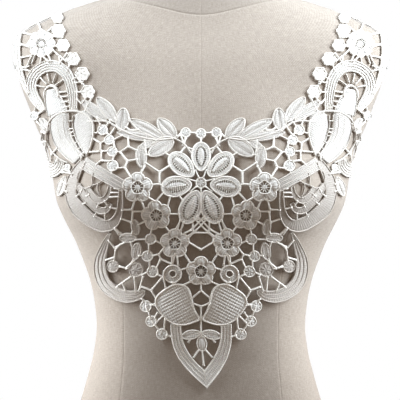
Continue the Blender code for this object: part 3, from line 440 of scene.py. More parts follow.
@dataclass
class Stitcher:
    """Makes bodies of thread: ribbons carried along paths and domes over rings."""

    skin: Skin
    satin: Work
    cords: Work
    net: Work
    blocked: list[Array] = field(default_factory=list)

    def paint_light(self, painted_light: float) -> None:
        """Sets the painted light of the next motifs: below 1 their thread colour is mixed towards the ground tone as
        painted shade.
        """
        for work in (self.satin, self.cords):
            work.painted_light = painted_light

    def block(self, outline: Array) -> None:
        """Keeps the net out of a pattern outline and of its mirror image."""
        self.blocked.append(outline)
        if not on_centre(outline):
            self.blocked.append(outline * (-1.0, 1.0))

    def body(self, work: Work, base: Array, lift: Array, thread: Array, closed: bool = False) -> None:
        """A closed body under a grid of top points: section loop = top points + two inner corners.

        Args:
            work: The piece that the body belongs to.
            base: Skin points (stations, columns, 3).
            lift: Heights (stations, columns).
            thread: Thread coordinates (stations, columns, 2).
            closed: Whether the last station joins the first.
        """
        n, m = lift.shape
        loop_base = np.concatenate((base, base[:, -1:], base[:, :1]), axis=1)
        loop_lift = np.concatenate((lift, np.zeros((n, 2))), axis=1)
        loop_thread = np.concatenate((thread, thread[:, -1:], thread[:, :1]), axis=1)
        index = np.arange(n * (m + 2)).reshape(n, m + 2)
        here, follow = (index, np.roll(index, -1, 0)) if closed else (index[:-1], index[1:])
        quads = np.stack((here, np.roll(here, -1, 1), np.roll(follow, -1, 1), follow), -1).reshape(-1, 4)
        faces = [quads] if closed else [quads, index[:1, ::-1], index[-1:]]
        aside, along = base[:-1, 1:] - base[:-1, :-1], base[1:, :-1] - base[:-1, :-1]
        facing = np.cross(aside, along)[..., :2] * base[:-1, :-1, :2]
        if facing.sum() < 0:
            faces = [group[:, ::-1] for group in faces]
        work.add(loop_base.reshape(-1, 3), loop_lift.ravel(), loop_thread.reshape(-1, 2), faces)

    def ribbon(self, pattern: Array, lift: Array, thread: Array, closed: bool = False) -> None:
        """A satin body under a grid of pattern points (stations, columns, 2)."""
        self.body(self.satin, self.skin.lay(pattern), lift, thread, closed)

    def dome(self, middle: Array, pattern: Array, top: float, lift: Array, thread: Array,
             work: Work | None = None) -> None:
        """A closed body under rings of top points round a middle point, with a flat inner face.

        Args:
            middle: Pattern point of the middle (2,).
            pattern: Pattern points (rings, spokes, 2), inner ring first.
            top: Height of the middle.
            lift: Heights (rings, spokes).
            thread: Thread coordinates (rings, spokes, 2); the middle takes the mean of the first ring.
            work: The piece that it belongs to, else the satin.
        """
        centre, rings = self.skin.lay(middle), self.skin.lay(pattern)
        k, m = lift.shape
        base = np.vstack((centre, centre, rings.reshape(-1, 3), rings[-1]))
        heights = np.concatenate(([top, 0.0], lift.ravel(), np.zeros(m)))
        inmost = thread[0].mean(0)
        threads = np.vstack((inmost, inmost, thread.reshape(-1, 2), thread[-1]))
        index = 2 + np.arange((k + 1) * m).reshape(k + 1, m)
        after = np.roll(index, -1, 1)
        walls = np.stack((index[:-1], index[1:], after[1:], after[:-1]), -1).reshape(-1, 4)
        fan = np.stack((np.zeros(m, dtype=int), index[0], after[0]), -1)
        under = np.stack((np.ones(m, dtype=int), after[-1], index[-1]), -1)
        spokes = rings[-1] - centre
        facing = np.cross(spokes, np.roll(spokes, -1, 0)).sum(0)[:2] @ centre[:2]
        faces = [group if facing > 0 else group[:, ::-1] for group in (walls, fan, under)]
        (work or self.satin).add(base, heights, threads, faces)

    def cord(self, pattern: Array, width: float | Array = 1.6, height: float = 1.5, closed: bool = False,
             work: Work | None = None) -> None:
        """A round cord along pattern points, its width measured on the form.

        Args:
            pattern: Pattern points (n, 2).
            width: Width of the cord, or of each station.
            height: Height of the cord's crest over its inner face.
            closed: Whether the cord runs back to its start.
            work: The piece that it belongs to, else the cords.
        """
        path = self.skin.lay(pattern)
        along = unit(np.roll(path, -1, 0) - np.roll(path, 1, 0) if closed else np.gradient(path, axis=0))
        sideways = np.cross(self.skin.normals(path), along)
        places, shares = np.array(CORD).T
        half = 0.5 * np.broadcast_to(np.asarray(width, dtype=float), (len(path),))
        base = path[:, None] + sideways[:, None] * (half[:, None] * places)[..., None]
        lift = height * np.tile(shares, (len(path), 1))
        length = arc_length(path)[:, None]
        thread = np.stack((length + 0.6 * places, length * 0 + places), axis=-1)
        self.body(work or self.cords, base, lift, thread, closed)

    def lines(self, curves: tuple[Rows, ...], width: float = 1.6, height: float = 1.6) -> None:
        """A cord along each of some smooth curves through pattern points."""
        for points in curves:
            self.cord(spread(points, 1.4), width, height)

    def bar(self, start: Array, end: Array, width: float = 2.0) -> None:
        """A straight bar between two pattern points, flared at both ends: width (1 + 0.5 |2t - 1|^5)."""
        t = np.linspace(0.0, 1.0, max(4, int(np.linalg.norm(end - start) / 1.8) + 1))[:, None]
        self.cord(start * (1 - t) + end * t, width * (1 + 0.5 * np.abs(2 * t[:, 0] - 1) ** 5), 1.6, work=self.net)

    def bars(self, rows: Rows, width: float = 2.0) -> None:
        """A bar for each row of across and drop of its start and its end."""
        for row in np.array(rows, dtype=float):
            self.bar(row[:2], row[2:], width)

    def disc(self, across: float, drop: float, radius: float, crest: float = 0.5) -> None:
        """A satin rosette of seven small lobes inside a ring of cord.

        Lift = 0.45 + crest (1 - f^2) + 0.55 |cos 3.5 a|^0.6 sin(pi f)^0.5, f from middle to rim and a round it.
        """
        fractions = np.array((0.25, 0.45, 0.65, 0.82, 0.94, 1.0))[:, None]
        inner, middle = circle(0.0, 0.0, radius - 0.9, 42), np.array((across, drop))
        angle = np.arctan2(inner[:, 1], inner[:, 0])
        lobes = np.abs(np.cos(3.5 * angle)) ** 0.6 * np.sqrt(np.sin(math.pi * fractions.clip(0.0, 0.97)))
        lift = 0.45 + crest * (1 - fractions**2) + 0.55 * lobes
        thread = np.stack((0.6 * radius * angle + 0 * lift, radius * fractions + 0 * lift), axis=-1)
        self.dome(middle, middle + fractions[..., None] * inner, 0.7 + crest, lift, thread)
        self.cord(circle(across, drop, radius - 0.8, 26), 1.7, 1.5, closed=True)
        self.block(circle(across, drop, radius - 0.4, 16))

    def spangle(self, across: float, drop: float, radius: float) -> None:
        """A six-sided disc of thread: rim = radius (1 + 0.09 cos 6a), lift = 0.9 + 0.35 (1 - f) + 0.25 cos 6a f."""
        angle = 2 * math.pi * np.arange(36) / 36
        fractions = np.array((0.12, 0.4, 0.7, 0.9, 1.0))[:, None]
        distance = fractions * radius * (1 + 0.09 * np.cos(6 * angle))
        pattern = np.array((across, drop)) + distance[..., None] * circle(0.0, 0.0, 1.0, 36)
        lift = 0.9 + 0.35 * (1 - fractions) + 0.25 * fractions * np.cos(6 * angle)
        thread = np.stack((0.8 * radius * angle + 0 * lift, distance), axis=-1)
        self.dome(np.array((across, drop)), pattern, 0.8, lift, thread, self.cords)
        self.cord(pattern[-2], 1.7, 1.5, closed=True)
        self.block(circle(across, drop, radius - 0.4, 16))

    def leaf(self, foot: Array, tip: Array, width: float, fullness: float = 0.75, crest: float = 1.1,
             slant: float = 0.55) -> None:
        """A satin leaf of two domes with a crease along its middle, a raised rib and a cord round its edge.

        Across the leaf lift = 0.45 + crest sqrt(1 - (2|s| - 1)^2), s from -1 to 1.

        Args:
            foot: Pattern point of the leaf's foot.
            tip: Pattern point of its tip.
            width: Greatest width.
            fullness: Power of the sine that shapes the edge; lower is fuller.
            crest: Height of the domes.
            slant: How far the threads lean back towards the middle rib.
        """
        length, heading = float(np.linalg.norm(tip - foot)), unit(tip - foot)
        outline = leaf_outline(length, width, 14, fullness)
        t = 0.5 - 0.5 * np.cos(np.linspace(0.05, math.pi - 0.05, max(8, int(length / 1.4))))[:, None]
        places = np.array((-1.0, -0.86, -0.5, -0.14, 0.0, 0.14, 0.5, 0.86, 1.0))
        half = 0.5 * width * np.sin(math.pi * t) ** fullness
        local = np.stack((length * t + 0 * places, half * places), axis=-1)
        shape = np.sqrt(np.clip(1 - (2 * np.abs(places) - 1) ** 2, 0.0, 1.0))
        lift = 0.45 + crest * shape * (0.35 + 0.65 * np.sin(math.pi * t) ** 0.6)
        thread = np.stack((local[..., 0] - slant * np.abs(local[..., 1]), local[..., 1]), axis=-1)
        self.ribbon(placed(local, foot, heading), lift, thread)
        self.cord(placed(spread(outline, 1.3, closed=True), foot, heading), 1.8, 1.6, closed=True)
        t = np.linspace(0.0, 0.86, 14)
        self.cord(placed(np.stack((length * t, 0 * t), axis=-1), foot, heading), 1.2 * (1.15 - t), 1.5)
        self.block(placed(outline, foot, heading))

    def band(self, rows: Rows, ribs: int = 0, crest: float = 0.9, cord: float = 1.7, mitre: bool = False,
             ridge: float = 0.0, thread: Thread = Thread.ACROSS, rib_cord: float = 0.0) -> None:
        """A satin band along a curve, with a cord on both edges and one between every two ribs.

        Across the band lift = 0.5 + crest |sin(ribs pi (s + 1)/2)|^0.7, or one dome where ribs is 0.

        Args:
            rows: Across, drop and width of the band at points of its middle line.
            ribs: Number of lengthwise ribs.
            crest: Height of the ribs or of the dome.
            cord: Width of the edge cords, or 0.
            mitre: Whether the band is cut off on the centre line.
            ridge: Pitch of raised ridges across the band, or 0.
            thread: Way of the threads.
            rib_cord: Width of the cords between the ribs, or 0 for that of the edge cords.
        """
        line = spread(rows, 1.3)
        centre, half = line[:, :2], 0.5 * np.maximum(line[:, 2:], 0.5)
        side = unit(np.gradient(centre, axis=0))[:, ::-1] * (-1.0, 1.0)
        columns = max(7, 6 * ribs + 1)
        places = np.linspace(-1.0, 1.0, columns)
        pattern = centre[:, None] + side[:, None] * (half * places)[..., None]
        if mitre:
            pattern[..., 0] = np.maximum(pattern[..., 0], 0.0)
        length = arc_length(centre)[:, None]
        lift = 0.5 + crest * np.abs(np.sin(max(ribs, 1) * math.pi * (places + 1) / 2)) ** 0.7 + 0.0 * length
        leaned = length + half * places * (0.6 if thread is Thread.SLANT else 0.0)
        if ridge > 0:
            lift = lift * (1 + 0.3 * np.abs(np.sin(math.pi * leaned / ridge)))
        self.ribbon(pattern, lift, np.stack((leaned, half * places), axis=-1))
        if cord > 0:
            for column in range(0, columns, 6 if ribs > 1 else columns - 1):
                inner = rib_cord > 0 and 0 < column < columns - 1
                self.cord(pattern[:, column], rib_cord if inner else cord, 1.5 if inner else 1.6)
        self.block(np.vstack((pattern[:, 0], pattern[::-1, -1])))

    def patch(self, outline: Rows, centre: Pair, ridge: float, slant: float, crest: float = 0.35,
              cord: float = 2.2) -> None:
        """A filled patch with slanting ridges of thread inside a cord, star-shaped about its middle.

        Lift = 0.65 + crest (1 - f^4) + 0.6 |sin(pi d / ridge)|^0.7 (0.6 + 0.4 |sin(pi e / ridge)|), d across the
        ridges, e along them and f from middle to edge.

        Args:
            outline: Pattern points round the edge.
            centre: Pattern point of the middle.
            ridge: Pitch of the ridges.
            slant: Way the ridges run, in degrees from level.
            crest: Swell of the middle.
            cord: Width of the edge cord.
        """
        edge, middle = spread(outline, 1.0, closed=True), np.array(centre)
        fractions = np.linspace(0.0, 1.0, 40)[1:, None]
        pattern = middle + fractions[..., None] * (edge - middle)
        length, distance = pattern @ bearing(slant), pattern @ bearing(slant - 90.0)
        across, along = (np.abs(np.sin(math.pi * way / ridge)) for way in (distance, length))
        lift = 0.65 + crest * (1 - fractions**4) + 0.6 * (across**0.7 * (0.6 + 0.4 * along))
        self.dome(middle, pattern, 0.9 + crest, lift, np.stack((length, distance), axis=-1))
        self.cord(edge, cord, 1.8, closed=True)
        self.block(edge)


@dataclass
class MiddleFlower:
    """The large flower: seven petals, each a satin rim, a ring of tiny holes and a ribbed raised middle."""

    painted_light: float = 1.1
    hub: Pair = (0.0, 183.0)
    # Angle in degrees, inner and outer end and width of each petal.
    petals: Rows = ((90, 12, 40, 18.6), (42, 11, 41.5, 19.6), (-8, 10, 40, 19.6), (-67, 9, 43, 21))
    rim: float = 3.1
    hole: float = 2.4
    fullness: float = 0.45
    skew: float = 1.2
    hub_radius: float = 5.8
    spokes: tuple[float, ...] = (66.0, 17.0, -37.5, -90.0)

    def petal(self, hand: Stitcher, angle: float, inner_end: float, outer_end: float, width: float) -> None:
        """One petal along an angle from the hub.

        Args:
            hand: The stitcher.
            angle: Heading of the petal in degrees, 0 to the side and 90 upwards.
            inner_end: Distance of its inner end from the hub.
            outer_end: Distance of its outer end.
            width: Greatest width.
        """
        heading, hub = bearing(angle), np.array(self.hub)
        length, count, shrink = outer_end - inner_end, 28, 2 * self.rim
        outer = leaf_outline(length, width, count, self.fullness, self.skew)
        inner = leaf_outline(length - shrink, width - shrink, count, self.fullness, self.skew) + (self.rim, 0.0)
        places = np.array((0.0, 0.12, 0.35, 0.65, 0.88, 1.0))
        local = outer[:, None] * (1 - places[:, None]) + inner[:, None] * places[:, None]
        pattern = placed(local + (inner_end, 0.0), hub, heading)
        lift = 0.5 + 0.9 * np.sin(math.pi * places) ** 0.5 * np.ones((len(outer), 1))
        length_round = np.linalg.norm(np.roll(outer, -1, 0) - outer, axis=1).cumsum()[:, None]
        thread = np.stack((length_round + 0 * places, self.rim * places + 0 * length_round), axis=-1)
        hand.ribbon(pattern, lift, thread, closed=True)
        hand.cord(pattern[:, 0], 1.9, 1.7, closed=True)
        hand.cord(pattern[:, -1], 0.9, 1.5, closed=True)
        shrink += 2 * self.hole
        self.middle(hand, heading, inner_end + self.rim + self.hole, length - shrink, width - shrink)
        self.threads(hand, heading, inner + (inner_end, 0.0))
        hand.block(pattern[:, 0])

    def middle(self, hand: Stitcher, heading: Array, start: float, length: float, width: float) -> None:
        """The raised middle: lift = 0.5 + 1.6 sqrt(1 - s^2) (0.5 + 0.5 |sin(pi x / 2.1)|), ribs across it."""
        x = np.linspace(0.2, length - 0.2, 60)[:, None]
        half = 0.5 * width * np.clip(np.sin(math.pi * (x / length) ** self.skew), 0.0, 1.0) ** self.fullness
        places = np.array((-1.0, -0.85, -0.5, 0.0, 0.5, 0.85, 1.0))
        local = np.stack((x + 0 * places, half * places), axis=-1)
        rib = 0.5 + 0.5 * np.abs(np.sin(math.pi * x / 2.1))
        lift = 0.5 + 1.6 * rib * np.sqrt(np.clip(1.02 - places**2, 0.0, 1.0))
        hand.ribbon(placed(local + (start, 0.0), np.array(self.hub), heading), lift, local)
        crease = np.concatenate((x + start, 0 * x), axis=1)[2:-6:3]
        hand.cord(placed(crease, np.array(self.hub), heading), 0.9, 2.2)

    def threads(self, hand: Stitcher, heading: Array, inner: Array) -> None:
        """Short threads over the ring of tiny holes between rim and middle."""
        round_line = spread(inner, 2.3, closed=True)
        spine = np.clip(round_line[:, :1], inner[:, 0].min() + 4.0, inner[:, 0].max() - 4.0) * (1.0, 0.0)
        for point, way in zip(round_line, unit(spine - round_line)):
            ends = np.stack((point - 0.7 * way, point + (self.hole + 1.0) * way))
            hand.cord(placed(ends, np.array(self.hub), heading), 1.0, 1.4, work=hand.net)

    def stitch(self, hand: Stitcher) -> None:
        """Makes the petals, the hub with its ring, and its spokes."""
        for row in self.petals:
            self.petal(hand, *row)
        hand.disc(*self.hub, self.hub_radius)
        hub = np.array(self.hub)
        for angle in self.spokes:
            hand.bar(hub + (self.hub_radius - 0.5) * bearing(angle), hub + 14.5 * bearing(angle), 1.6)
        hand.block(circle(*self.hub, 15.0, 24))


@dataclass
class LobedFlowers:
    """Small flowers of satin lobes round a ring of tiny holes and a hub."""

    painted_light: float = 1.05
    # Across, drop, radius, lobes, turn of the first lobe in degrees, outer radius of the ring of holes.
    flowers: Rows = (
        (63.5, 187.5, 14.4, 5, 90, 5.6), (44.8, 215, 14.4, 5, 80, 5.6), (26, 243, 14.2, 5, 90, 5.6),
        (0, 271, 14.2, 5, 90, 5.6), (158.5, 44.5, 13, 8, 90, 4.8),
    )
    hub: float = 2.9
    # Depth of the notches between the lobes, as a share of the radius, and from this many lobes on.
    notches: Pair = (0.3, 0.2)
    many: int = 7

    def flower(self, hand: Stitcher, across: float, drop: float, radius: float, lobes: float, turn: float,
               hole: float) -> None:
        """One flower: its rim is radius (0.7 + 0.3 |cos(lobes a / 2)|^0.5), each lobe a dome.

        Args:
            hand: The stitcher.
            across: Pattern across of the middle.
            drop: Pattern drop of the middle.
            radius: Greatest radius.
            lobes: Number of lobes.
            turn: Heading of the first lobe in degrees.
            hole: Outer radius of the ring of holes.
        """
        middle, count, start = np.array((across, drop)), int(24 * lobes), math.radians(turn)
        way = circle(0.0, 0.0, 1.0, count)
        angle = 2 * math.pi * np.arange(count) / count - start
        wave = np.abs(np.cos(lobes * angle / 2))
        notch = self.notches[int(lobes >= self.many)]
        rim = radius * (1 - notch + notch * wave**0.5)[:, None]
        fractions = np.array((0.0, 0.1, 0.3, 0.55, 0.8, 0.94, 1.0))
        distance = hole + (rim - hole) * fractions
        pattern = middle + distance[..., None] * way[:, None]
        valley = (wave**0.7 * (0.75 + 0.25 * np.abs(np.sin(lobes * 2.5 * angle))))[:, None]
        lift = 0.45 + (0.15 + 1.5 * valley) * np.sin(math.pi * (0.12 + 0.82 * fractions)) ** 0.7
        lobe_angle = (angle + math.pi / lobes) % (2 * math.pi / lobes) - math.pi / lobes
        thread = np.stack((distance * np.sin(lobe_angle)[:, None], distance), axis=-1)
        hand.ribbon(pattern, lift, thread, closed=True)
        hand.cord(pattern[:, -1], 1.9, 1.6, closed=True)
        hand.cord(middle + (hole + 0.3 + 1.1 * wave[::4, None] ** 2) * way[::4], 1.2, 1.9, closed=True)
        hub = middle + np.array((0.5, 0.8, 1.0))[:, None, None] * circle(0.0, 0.0, self.hub, 18)
        hand.dome(middle, hub, 1.2, np.array((1.5, 1.3, 0.7))[:, None] * np.ones(18), hub)
        for spoke in turn + 180.0 / lobes * (np.arange(2 * int(lobes)) + 0.5):
            ends = np.outer((self.hub - 0.4, hole + 0.5), bearing(spoke))
            hand.cord(middle + ends, 0.95, 1.3, work=hand.net)
        hand.block(middle + (0.95 * rim * way)[::4])

    def stitch(self, hand: Stitcher) -> None:
        """Makes every flower."""
        for row in self.flowers:
            self.flower(hand, *row)


@dataclass
class DiscsAndSpangles:
    """Single round motifs of the neck edge, the yoke and the straps."""

    painted_light: float = 1.05
    discs: Rows = (
        (0, 134, 5.3), (15.5, 133, 5.2), (50, 238.7, 5.8), (53, 255.8, 5.8), (47.8, 271.2, 6), (87.8, 166, 5.8),
        (88.3, 152, 5.2), (91, 140.5, 5.2), (97.5, 130.5, 5.4), (54.5, 306, 6), (49, 321, 5.9), (38.8, 334, 6),
        (165, 115.5, 4.6), (132.5, 167.5, 3.8),
    )
    spangles: Rows = (
        (112.8, 92, 6.6), (118.4, 74.3, 6.8), (127.6, 59.6, 6.6), (137.5, 46, 6.3), (141.8, 31.5, 6.4),
        (143, 18.5, 5.6),
    )

    def stitch(self, hand: Stitcher) -> None:
        """Makes every disc and spangle."""
        for row in self.discs:
            hand.disc(*row)
        for row in self.spangles:
            hand.spangle(*row)


@dataclass
class LeafSprays:
    """Leaves and their stems along the neck edge, the yoke and the armhole."""

    painted_light: float = 0.58
    # Base across, base drop, tip across, tip drop, width, fullness.
    leaves: Rows = (
        (25.5, 138.5, 43, 119.5, 13.5, 0.6), (36, 139.5, 71, 120, 11, 0.7), (46, 139.6, 83, 133, 8.5, 0.7),
        (79.5, 131.5, 77, 109, 12.5, 0.55), (83.5, 122.5, 103, 98, 11.5, 0.6), (93, 120.5, 118.5, 101.5, 9.5, 0.6),
        (28, 140.5, 52.5, 155.5, 13.5, 0.55), (64, 237.5, 80.5, 237, 8.6, 0.5), (62.5, 242.5, 65.5, 259, 9, 0.55),
        (63.6, 234, 66.6, 219.5, 7.4, 0.5), (61, 146.5, 58.8, 168, 10, 0.6), (48.5, 142, 61, 148.5, 6.4, 0.6),
        (158, 118.5, 152.5, 131.5, 8, 0.6), (134.5, 177, 141, 195.5, 8.6, 0.6),
    )
    stems: tuple[Rows, ...] = (
        ((10, 154), (13.5, 148.5), (18.5, 143.5), (26, 139.5), (35, 137.5), (42.5, 139.5), (49.5, 145)),
        ((28.5, 139), (44, 140.5), (62, 137.5), (79, 130.5), (91, 123), (100, 121.5), (109.5, 122)),
    )

    def stitch(self, hand: Stitcher) -> None:
        """Makes the leaves and the stems."""
        for row in np.array(self.leaves):
            hand.leaf(row[:2], row[2:4], *row[4:])
        hand.lines(self.stems, 2.2, 1.9)


@dataclass
class StrapWork:
    """The strap's horseshoe of ribs, its fan of bars, the satin column, the ladder and the ridge band."""

    painted_light: float = 0.88
    horseshoe: Rows = (
        (126.5, 111, 6.5), (127, 100, 8), (128.5, 88, 9.4), (132.5, 76.5, 9.8), (140, 68.5, 10), (149, 66.2, 10),
        (158.5, 68.8, 10), (166, 76, 10), (168.5, 86.5, 9.6), (165.5, 96.5, 9), (160, 104.5, 7.2), (155.8, 111, 3.6),
    )
    fan: Pair = (149.0, 88.5)
    fan_angles: tuple[float, ...] = (12.0, 45.0, 76.0, 108.0, 145.0)
    fan_reach: Pair = (5.5, 15.0)
    column: Rows = ((149, 89.5, 9), (147.8, 96, 14), (145.6, 103, 17.8), (143.6, 109, 19.2), (142.2, 113.5, 20))
    arch: Rows = ((155.5, 97.5), (154.5, 90.5), (150.5, 86.3), (146, 86.5), (142.5, 90.5), (141.2, 97))
    outer_band: Rows = (
        (179.5, 31, 3.4), (182, 42, 5), (182.2, 55, 5.4), (180, 69, 5), (176, 82, 4), (170.5, 94, 2.6),
    )
    ladder: Rows = (
        (167.5, 36, 180, 33), (170.5, 45, 180, 45.5), (168, 56, 180, 58), (170, 66, 178.5, 68), (164.5, 54, 168, 64),
        (159, 57, 159.5, 64.5), (152, 55, 149, 62.5), (148, 50, 141, 56.5), (141, 56.5, 140, 64.5),
        (133, 62.5, 141, 56.5), (131, 65.5, 133.5, 72.5), (142.5, 47, 147, 47), (147, 36, 149.5, 38.5),
        (147.5, 28, 153, 33), (123.5, 77.5, 128, 80), (118, 92.5, 124.5, 92.5), (114, 97.5, 118.5, 104.5),
        (123.5, 99, 118.5, 104.5), (163, 103.5, 165, 112), (156.5, 110.5, 161.5, 113.5), (132, 91.5, 141, 92.5),
        (131.5, 96.5, 140, 97), (131, 101.5, 138, 102), (130.5, 106.5, 136.5, 107), (120.5, 81, 117, 85.5),
    )
    ridge_band: Rows = ((141, 11, 7), (148, 11.5, 7), (157, 15.5, 7), (166, 20.5, 7), (174, 26, 6.5), (180, 32.5, 5))

    def stitch(self, hand: Stitcher) -> None:
        """Makes all parts of one strap."""
        hand.band(self.horseshoe, ribs=4, crest=0.3, cord=1.45)
        hand.band(self.column, crest=0.9, ridge=3.1, cord=1.4, thread=Thread.SLANT)
        hand.lines((self.arch,), 3.0, 2.1)
        for angle in self.fan_angles:
            hand.bar(*(np.array(self.fan) + np.outer(self.fan_reach, bearing(angle))), 1.5)
        hand.band(self.outer_band, ribs=2, crest=0.4)
        hand.band(self.ridge_band, ribs=3, crest=0.4)
        hand.bars(self.ladder)
        hand.block(circle(self.fan[0], self.fan[1] - 1.0, 17.5, 20))


@dataclass
class SidePod:
    """The side: a large pod, a broad slanting leaf beside it, the ribbed band and the armhole edge."""

    # Painted light of the side and of its slanting band: both get painted shade.
    painted_light: float = 0.62
    band_painted_light: float = 0.5
    pod: Rows = (
        (120, 112.5, 12), (117, 119, 19), (116.2, 129, 21), (115.8, 139, 17.5), (115, 147, 10.5), (113.6, 154.5, 2.5),
    )
    broad: Rows = (
        (140.5, 113.5, 17.5), (140.5, 121, 18.8), (139.5, 131, 18.4), (135.5, 142, 18.2), (129, 151.5, 15.5),
        (121.5, 160, 10.5),
    )
    brow: Rows = (
        (152.5, 131), (149.5, 120.5), (140, 113.2), (127, 111.2), (115.5, 114.2), (107.8, 122.5), (106.6, 134),
        (109, 145.5), (113.2, 156),
    )
    ladder: Rows = (
        (126.5, 121, 131.5, 121), (126, 128.5, 130.5, 129), (124, 135, 128.5, 136.5), (121.5, 141.5, 125.5, 143.5),
        (118.5, 147.5, 122, 150), (115.5, 152.5, 119, 155.5),
    )
    # The ladder's two rails and the broad leaf's two ribs.
    rails: tuple[Rows, ...] = (
        ((127, 116), (127, 127), (123.5, 138), (118.5, 147), (114, 154.5)),
        ((131, 115.5), (131, 127.5), (127.5, 139), (121.5, 149), (115.5, 157)),
        ((136.5, 116), (136, 127), (132.5, 138.5), (125.5, 149), (119, 157)),
        ((142, 118), (141, 129), (137, 141), (129.5, 151.5), (122.5, 158.5)),
    )
    slant_band: Rows = ((75.5, 187.5, 10), (85, 182, 10.4), (96, 175.5, 10.8), (107, 169, 11.2), (116.5, 163, 11.2))
    edge_cords: tuple[Rows, ...] = (
        ((153.5, 131), (153, 140), (148.5, 150), (141, 158), (132, 163)),
        ((157.5, 132), (158.5, 142), (158.8, 150), (160.8, 161), (160.5, 167)),
        ((153, 140), (154, 150), (155, 158)),
    )
    bars: Rows = (
        (152.5, 128, 160, 119), (154.5, 129, 163, 121), (153.5, 133.5, 158.5, 131), (153, 141, 158.5, 141),
        (154.5, 148, 158.8, 147), (131, 170.5, 126.5, 175), (135.5, 169.5, 138.5, 172), (137.5, 181, 131.5, 184.5),
        (136.5, 189, 132, 192), (148.3, 150, 148.3, 160.5), (141.5, 157.5, 143.5, 161), (153.5, 157, 152, 161),
    )
    shell: Rows = (
        (160, 160, 4.5), (158.5, 167, 6), (152.5, 172.5, 7), (144.5, 172.5, 7), (139, 166.5, 6), (138, 159.5, 4),
    )
    shell_inner: Rows = ((153.5, 159, 2.5), (152, 164, 4.5), (148, 166.5, 5), (144, 164, 4.5), (143, 159, 2.5))
    shell_block: Rows = ((163, 148), (163, 170), (150, 177), (136, 172), (136, 158))

    def stitch(self, hand: Stitcher) -> None:
        """Makes all parts of one side."""
        hand.band(self.pod, crest=0.9, cord=0.0, thread=Thread.SLANT)
        hand.band(self.broad, crest=0.9, cord=1.5, thread=Thread.SLANT, ridge=2.6)
        hand.lines((self.brow,), 2.6, 2.1)
        hand.lines(self.rails, 1.3, 1.9)
        hand.bars(self.ladder, 1.2)
        hand.paint_light(self.band_painted_light)
        hand.band(self.slant_band, ribs=3, crest=0.3, cord=1.5)
        hand.paint_light(self.painted_light)
        hand.lines(self.edge_cords, 1.7)
        hand.bars(self.bars)
        hand.band(self.shell, ribs=3, crest=0.4, cord=1.4)
        hand.band(self.shell_inner, ribs=2, crest=0.4, cord=1.3)
        hand.block(np.array(self.shell_block))


@dataclass
class BustCrescent:
    """The crescent over the bust: a broad cross-ribbed band and two bands inside it, with slots between."""

    # Painted light: the crescent gets strong painted shade.
    painted_light: float = 0.3
    outer: Rows = (
        (116.8, 161, 5), (122.5, 170.5, 8.5), (127, 180.5, 10.5), (128.8, 190, 10.5), (127, 200, 11),
        (120.6, 209.6, 13.5), (110, 218.8, 12.5), (98.5, 224.6, 12), (89, 223.8, 10), (82.6, 216.5, 7.4),
        (80.4, 206.5, 5), (79.8, 197, 4.2), (79.8, 189.5, 3.2),
    )
    middle: Rows = (
        (122, 184.5, 4), (115.8, 195, 6), (108, 203.8, 6.2), (100.5, 209.6, 6), (93.5, 209, 5), (90, 203, 3.6),
    )
    inner: Rows = (
        (112.6, 187, 4), (107.4, 195.5, 5.4), (101, 200, 5.4), (95, 197.8, 4.4), (91.6, 192, 3.6), (90.4, 186.5, 3),
    )
    cords: tuple[Rows, ...] = (
        ((120.5, 171.5), (122.5, 179), (120, 186), (113, 188), (107, 185)),
        ((107, 185), (107.5, 178.5), (106.5, 173)),
        ((107, 185), (102, 183.5), (96.5, 180)),
        ((102, 183.5), (102.2, 190), (99, 197)),
    )
    bars: Rows = (
        (116.5, 188, 119, 192), (86.5, 188, 81, 189.5), (89.5, 192.3, 81.5, 192.6), (91, 196.6, 81, 196.6),
        (90.5, 206.5, 83, 208.5), (96, 200, 92, 206), (101, 202.5, 103, 206.5), (95, 212, 95, 218.5),
        (104, 212.5, 106, 216), (113.5, 201.5, 117, 204), (110, 193.5, 113.5, 196), (120.5, 194, 123.5, 196),
    )
    # The ground inside, kept free of the net.
    within: Rows = (
        (79, 192), (96, 179), (120, 165), (128, 178), (128, 195), (120, 206), (104, 218), (90, 219), (80, 210),
    )

    def stitch(self, hand: Stitcher) -> None:
        """Makes the crescent of one side."""
        for rows, cord in ((self.outer, 1.8), (self.middle, 1.5), (self.inner, 1.5)):
            hand.band(rows, crest=0.2, cord=cord, ridge=1.9)
        hand.lines(self.cords)
        hand.bars(self.bars, 1.8)
        hand.block(np.array(self.within))


@dataclass
class LowerScallop:
    """The scallop under the bust, ribbed along its length and widest at its outer turn."""

    # Painted light: the scallop gets strong painted shade.
    painted_light: float = 0.34
    rows: Rows = (
        (90, 232, 1.5), (93.5, 240, 5), (97, 250, 8), (99.6, 260, 10), (99.3, 271, 11.4), (95, 283, 12),
        (86, 291.8, 12), (74.5, 296.2, 11.4), (64.5, 295.6, 9.5), (59, 292.5, 7), (57.5, 289.5, 4),
    )
    bars: Rows = (
        (81, 265.8, 74.7, 268), (74.7, 268, 71, 268), (74.7, 268, 65.5, 260), (85.8, 227.5, 80.9, 234.5),
        (92, 239, 84.5, 248.7), (84.5, 248.7, 79.5, 243.5), (84.5, 248.7, 86, 261), (85.5, 257, 94.5, 259.5),
        (69, 276, 84, 287), (78, 281.5, 74, 291.5), (66, 276, 64.5, 292), (57, 275.5, 61.5, 291),
    )
    discs: Rows = ((87, 266, 6.4), (64.2, 269.3, 7.5))
    within: Rows = ((57, 276), (70, 262), (92, 236), (97, 262), (94, 279), (84, 289), (72, 293), (59, 290))

    def stitch(self, hand: Stitcher) -> None:
        """Makes the scallop of one side and the discs and bars within it."""
        for row in self.discs:
            hand.disc(*row)
        hand.band(self.rows, ribs=3, crest=0.45, cord=1.4, rib_cord=0.9)
        hand.bars(self.bars)
        hand.block(np.array(self.within))


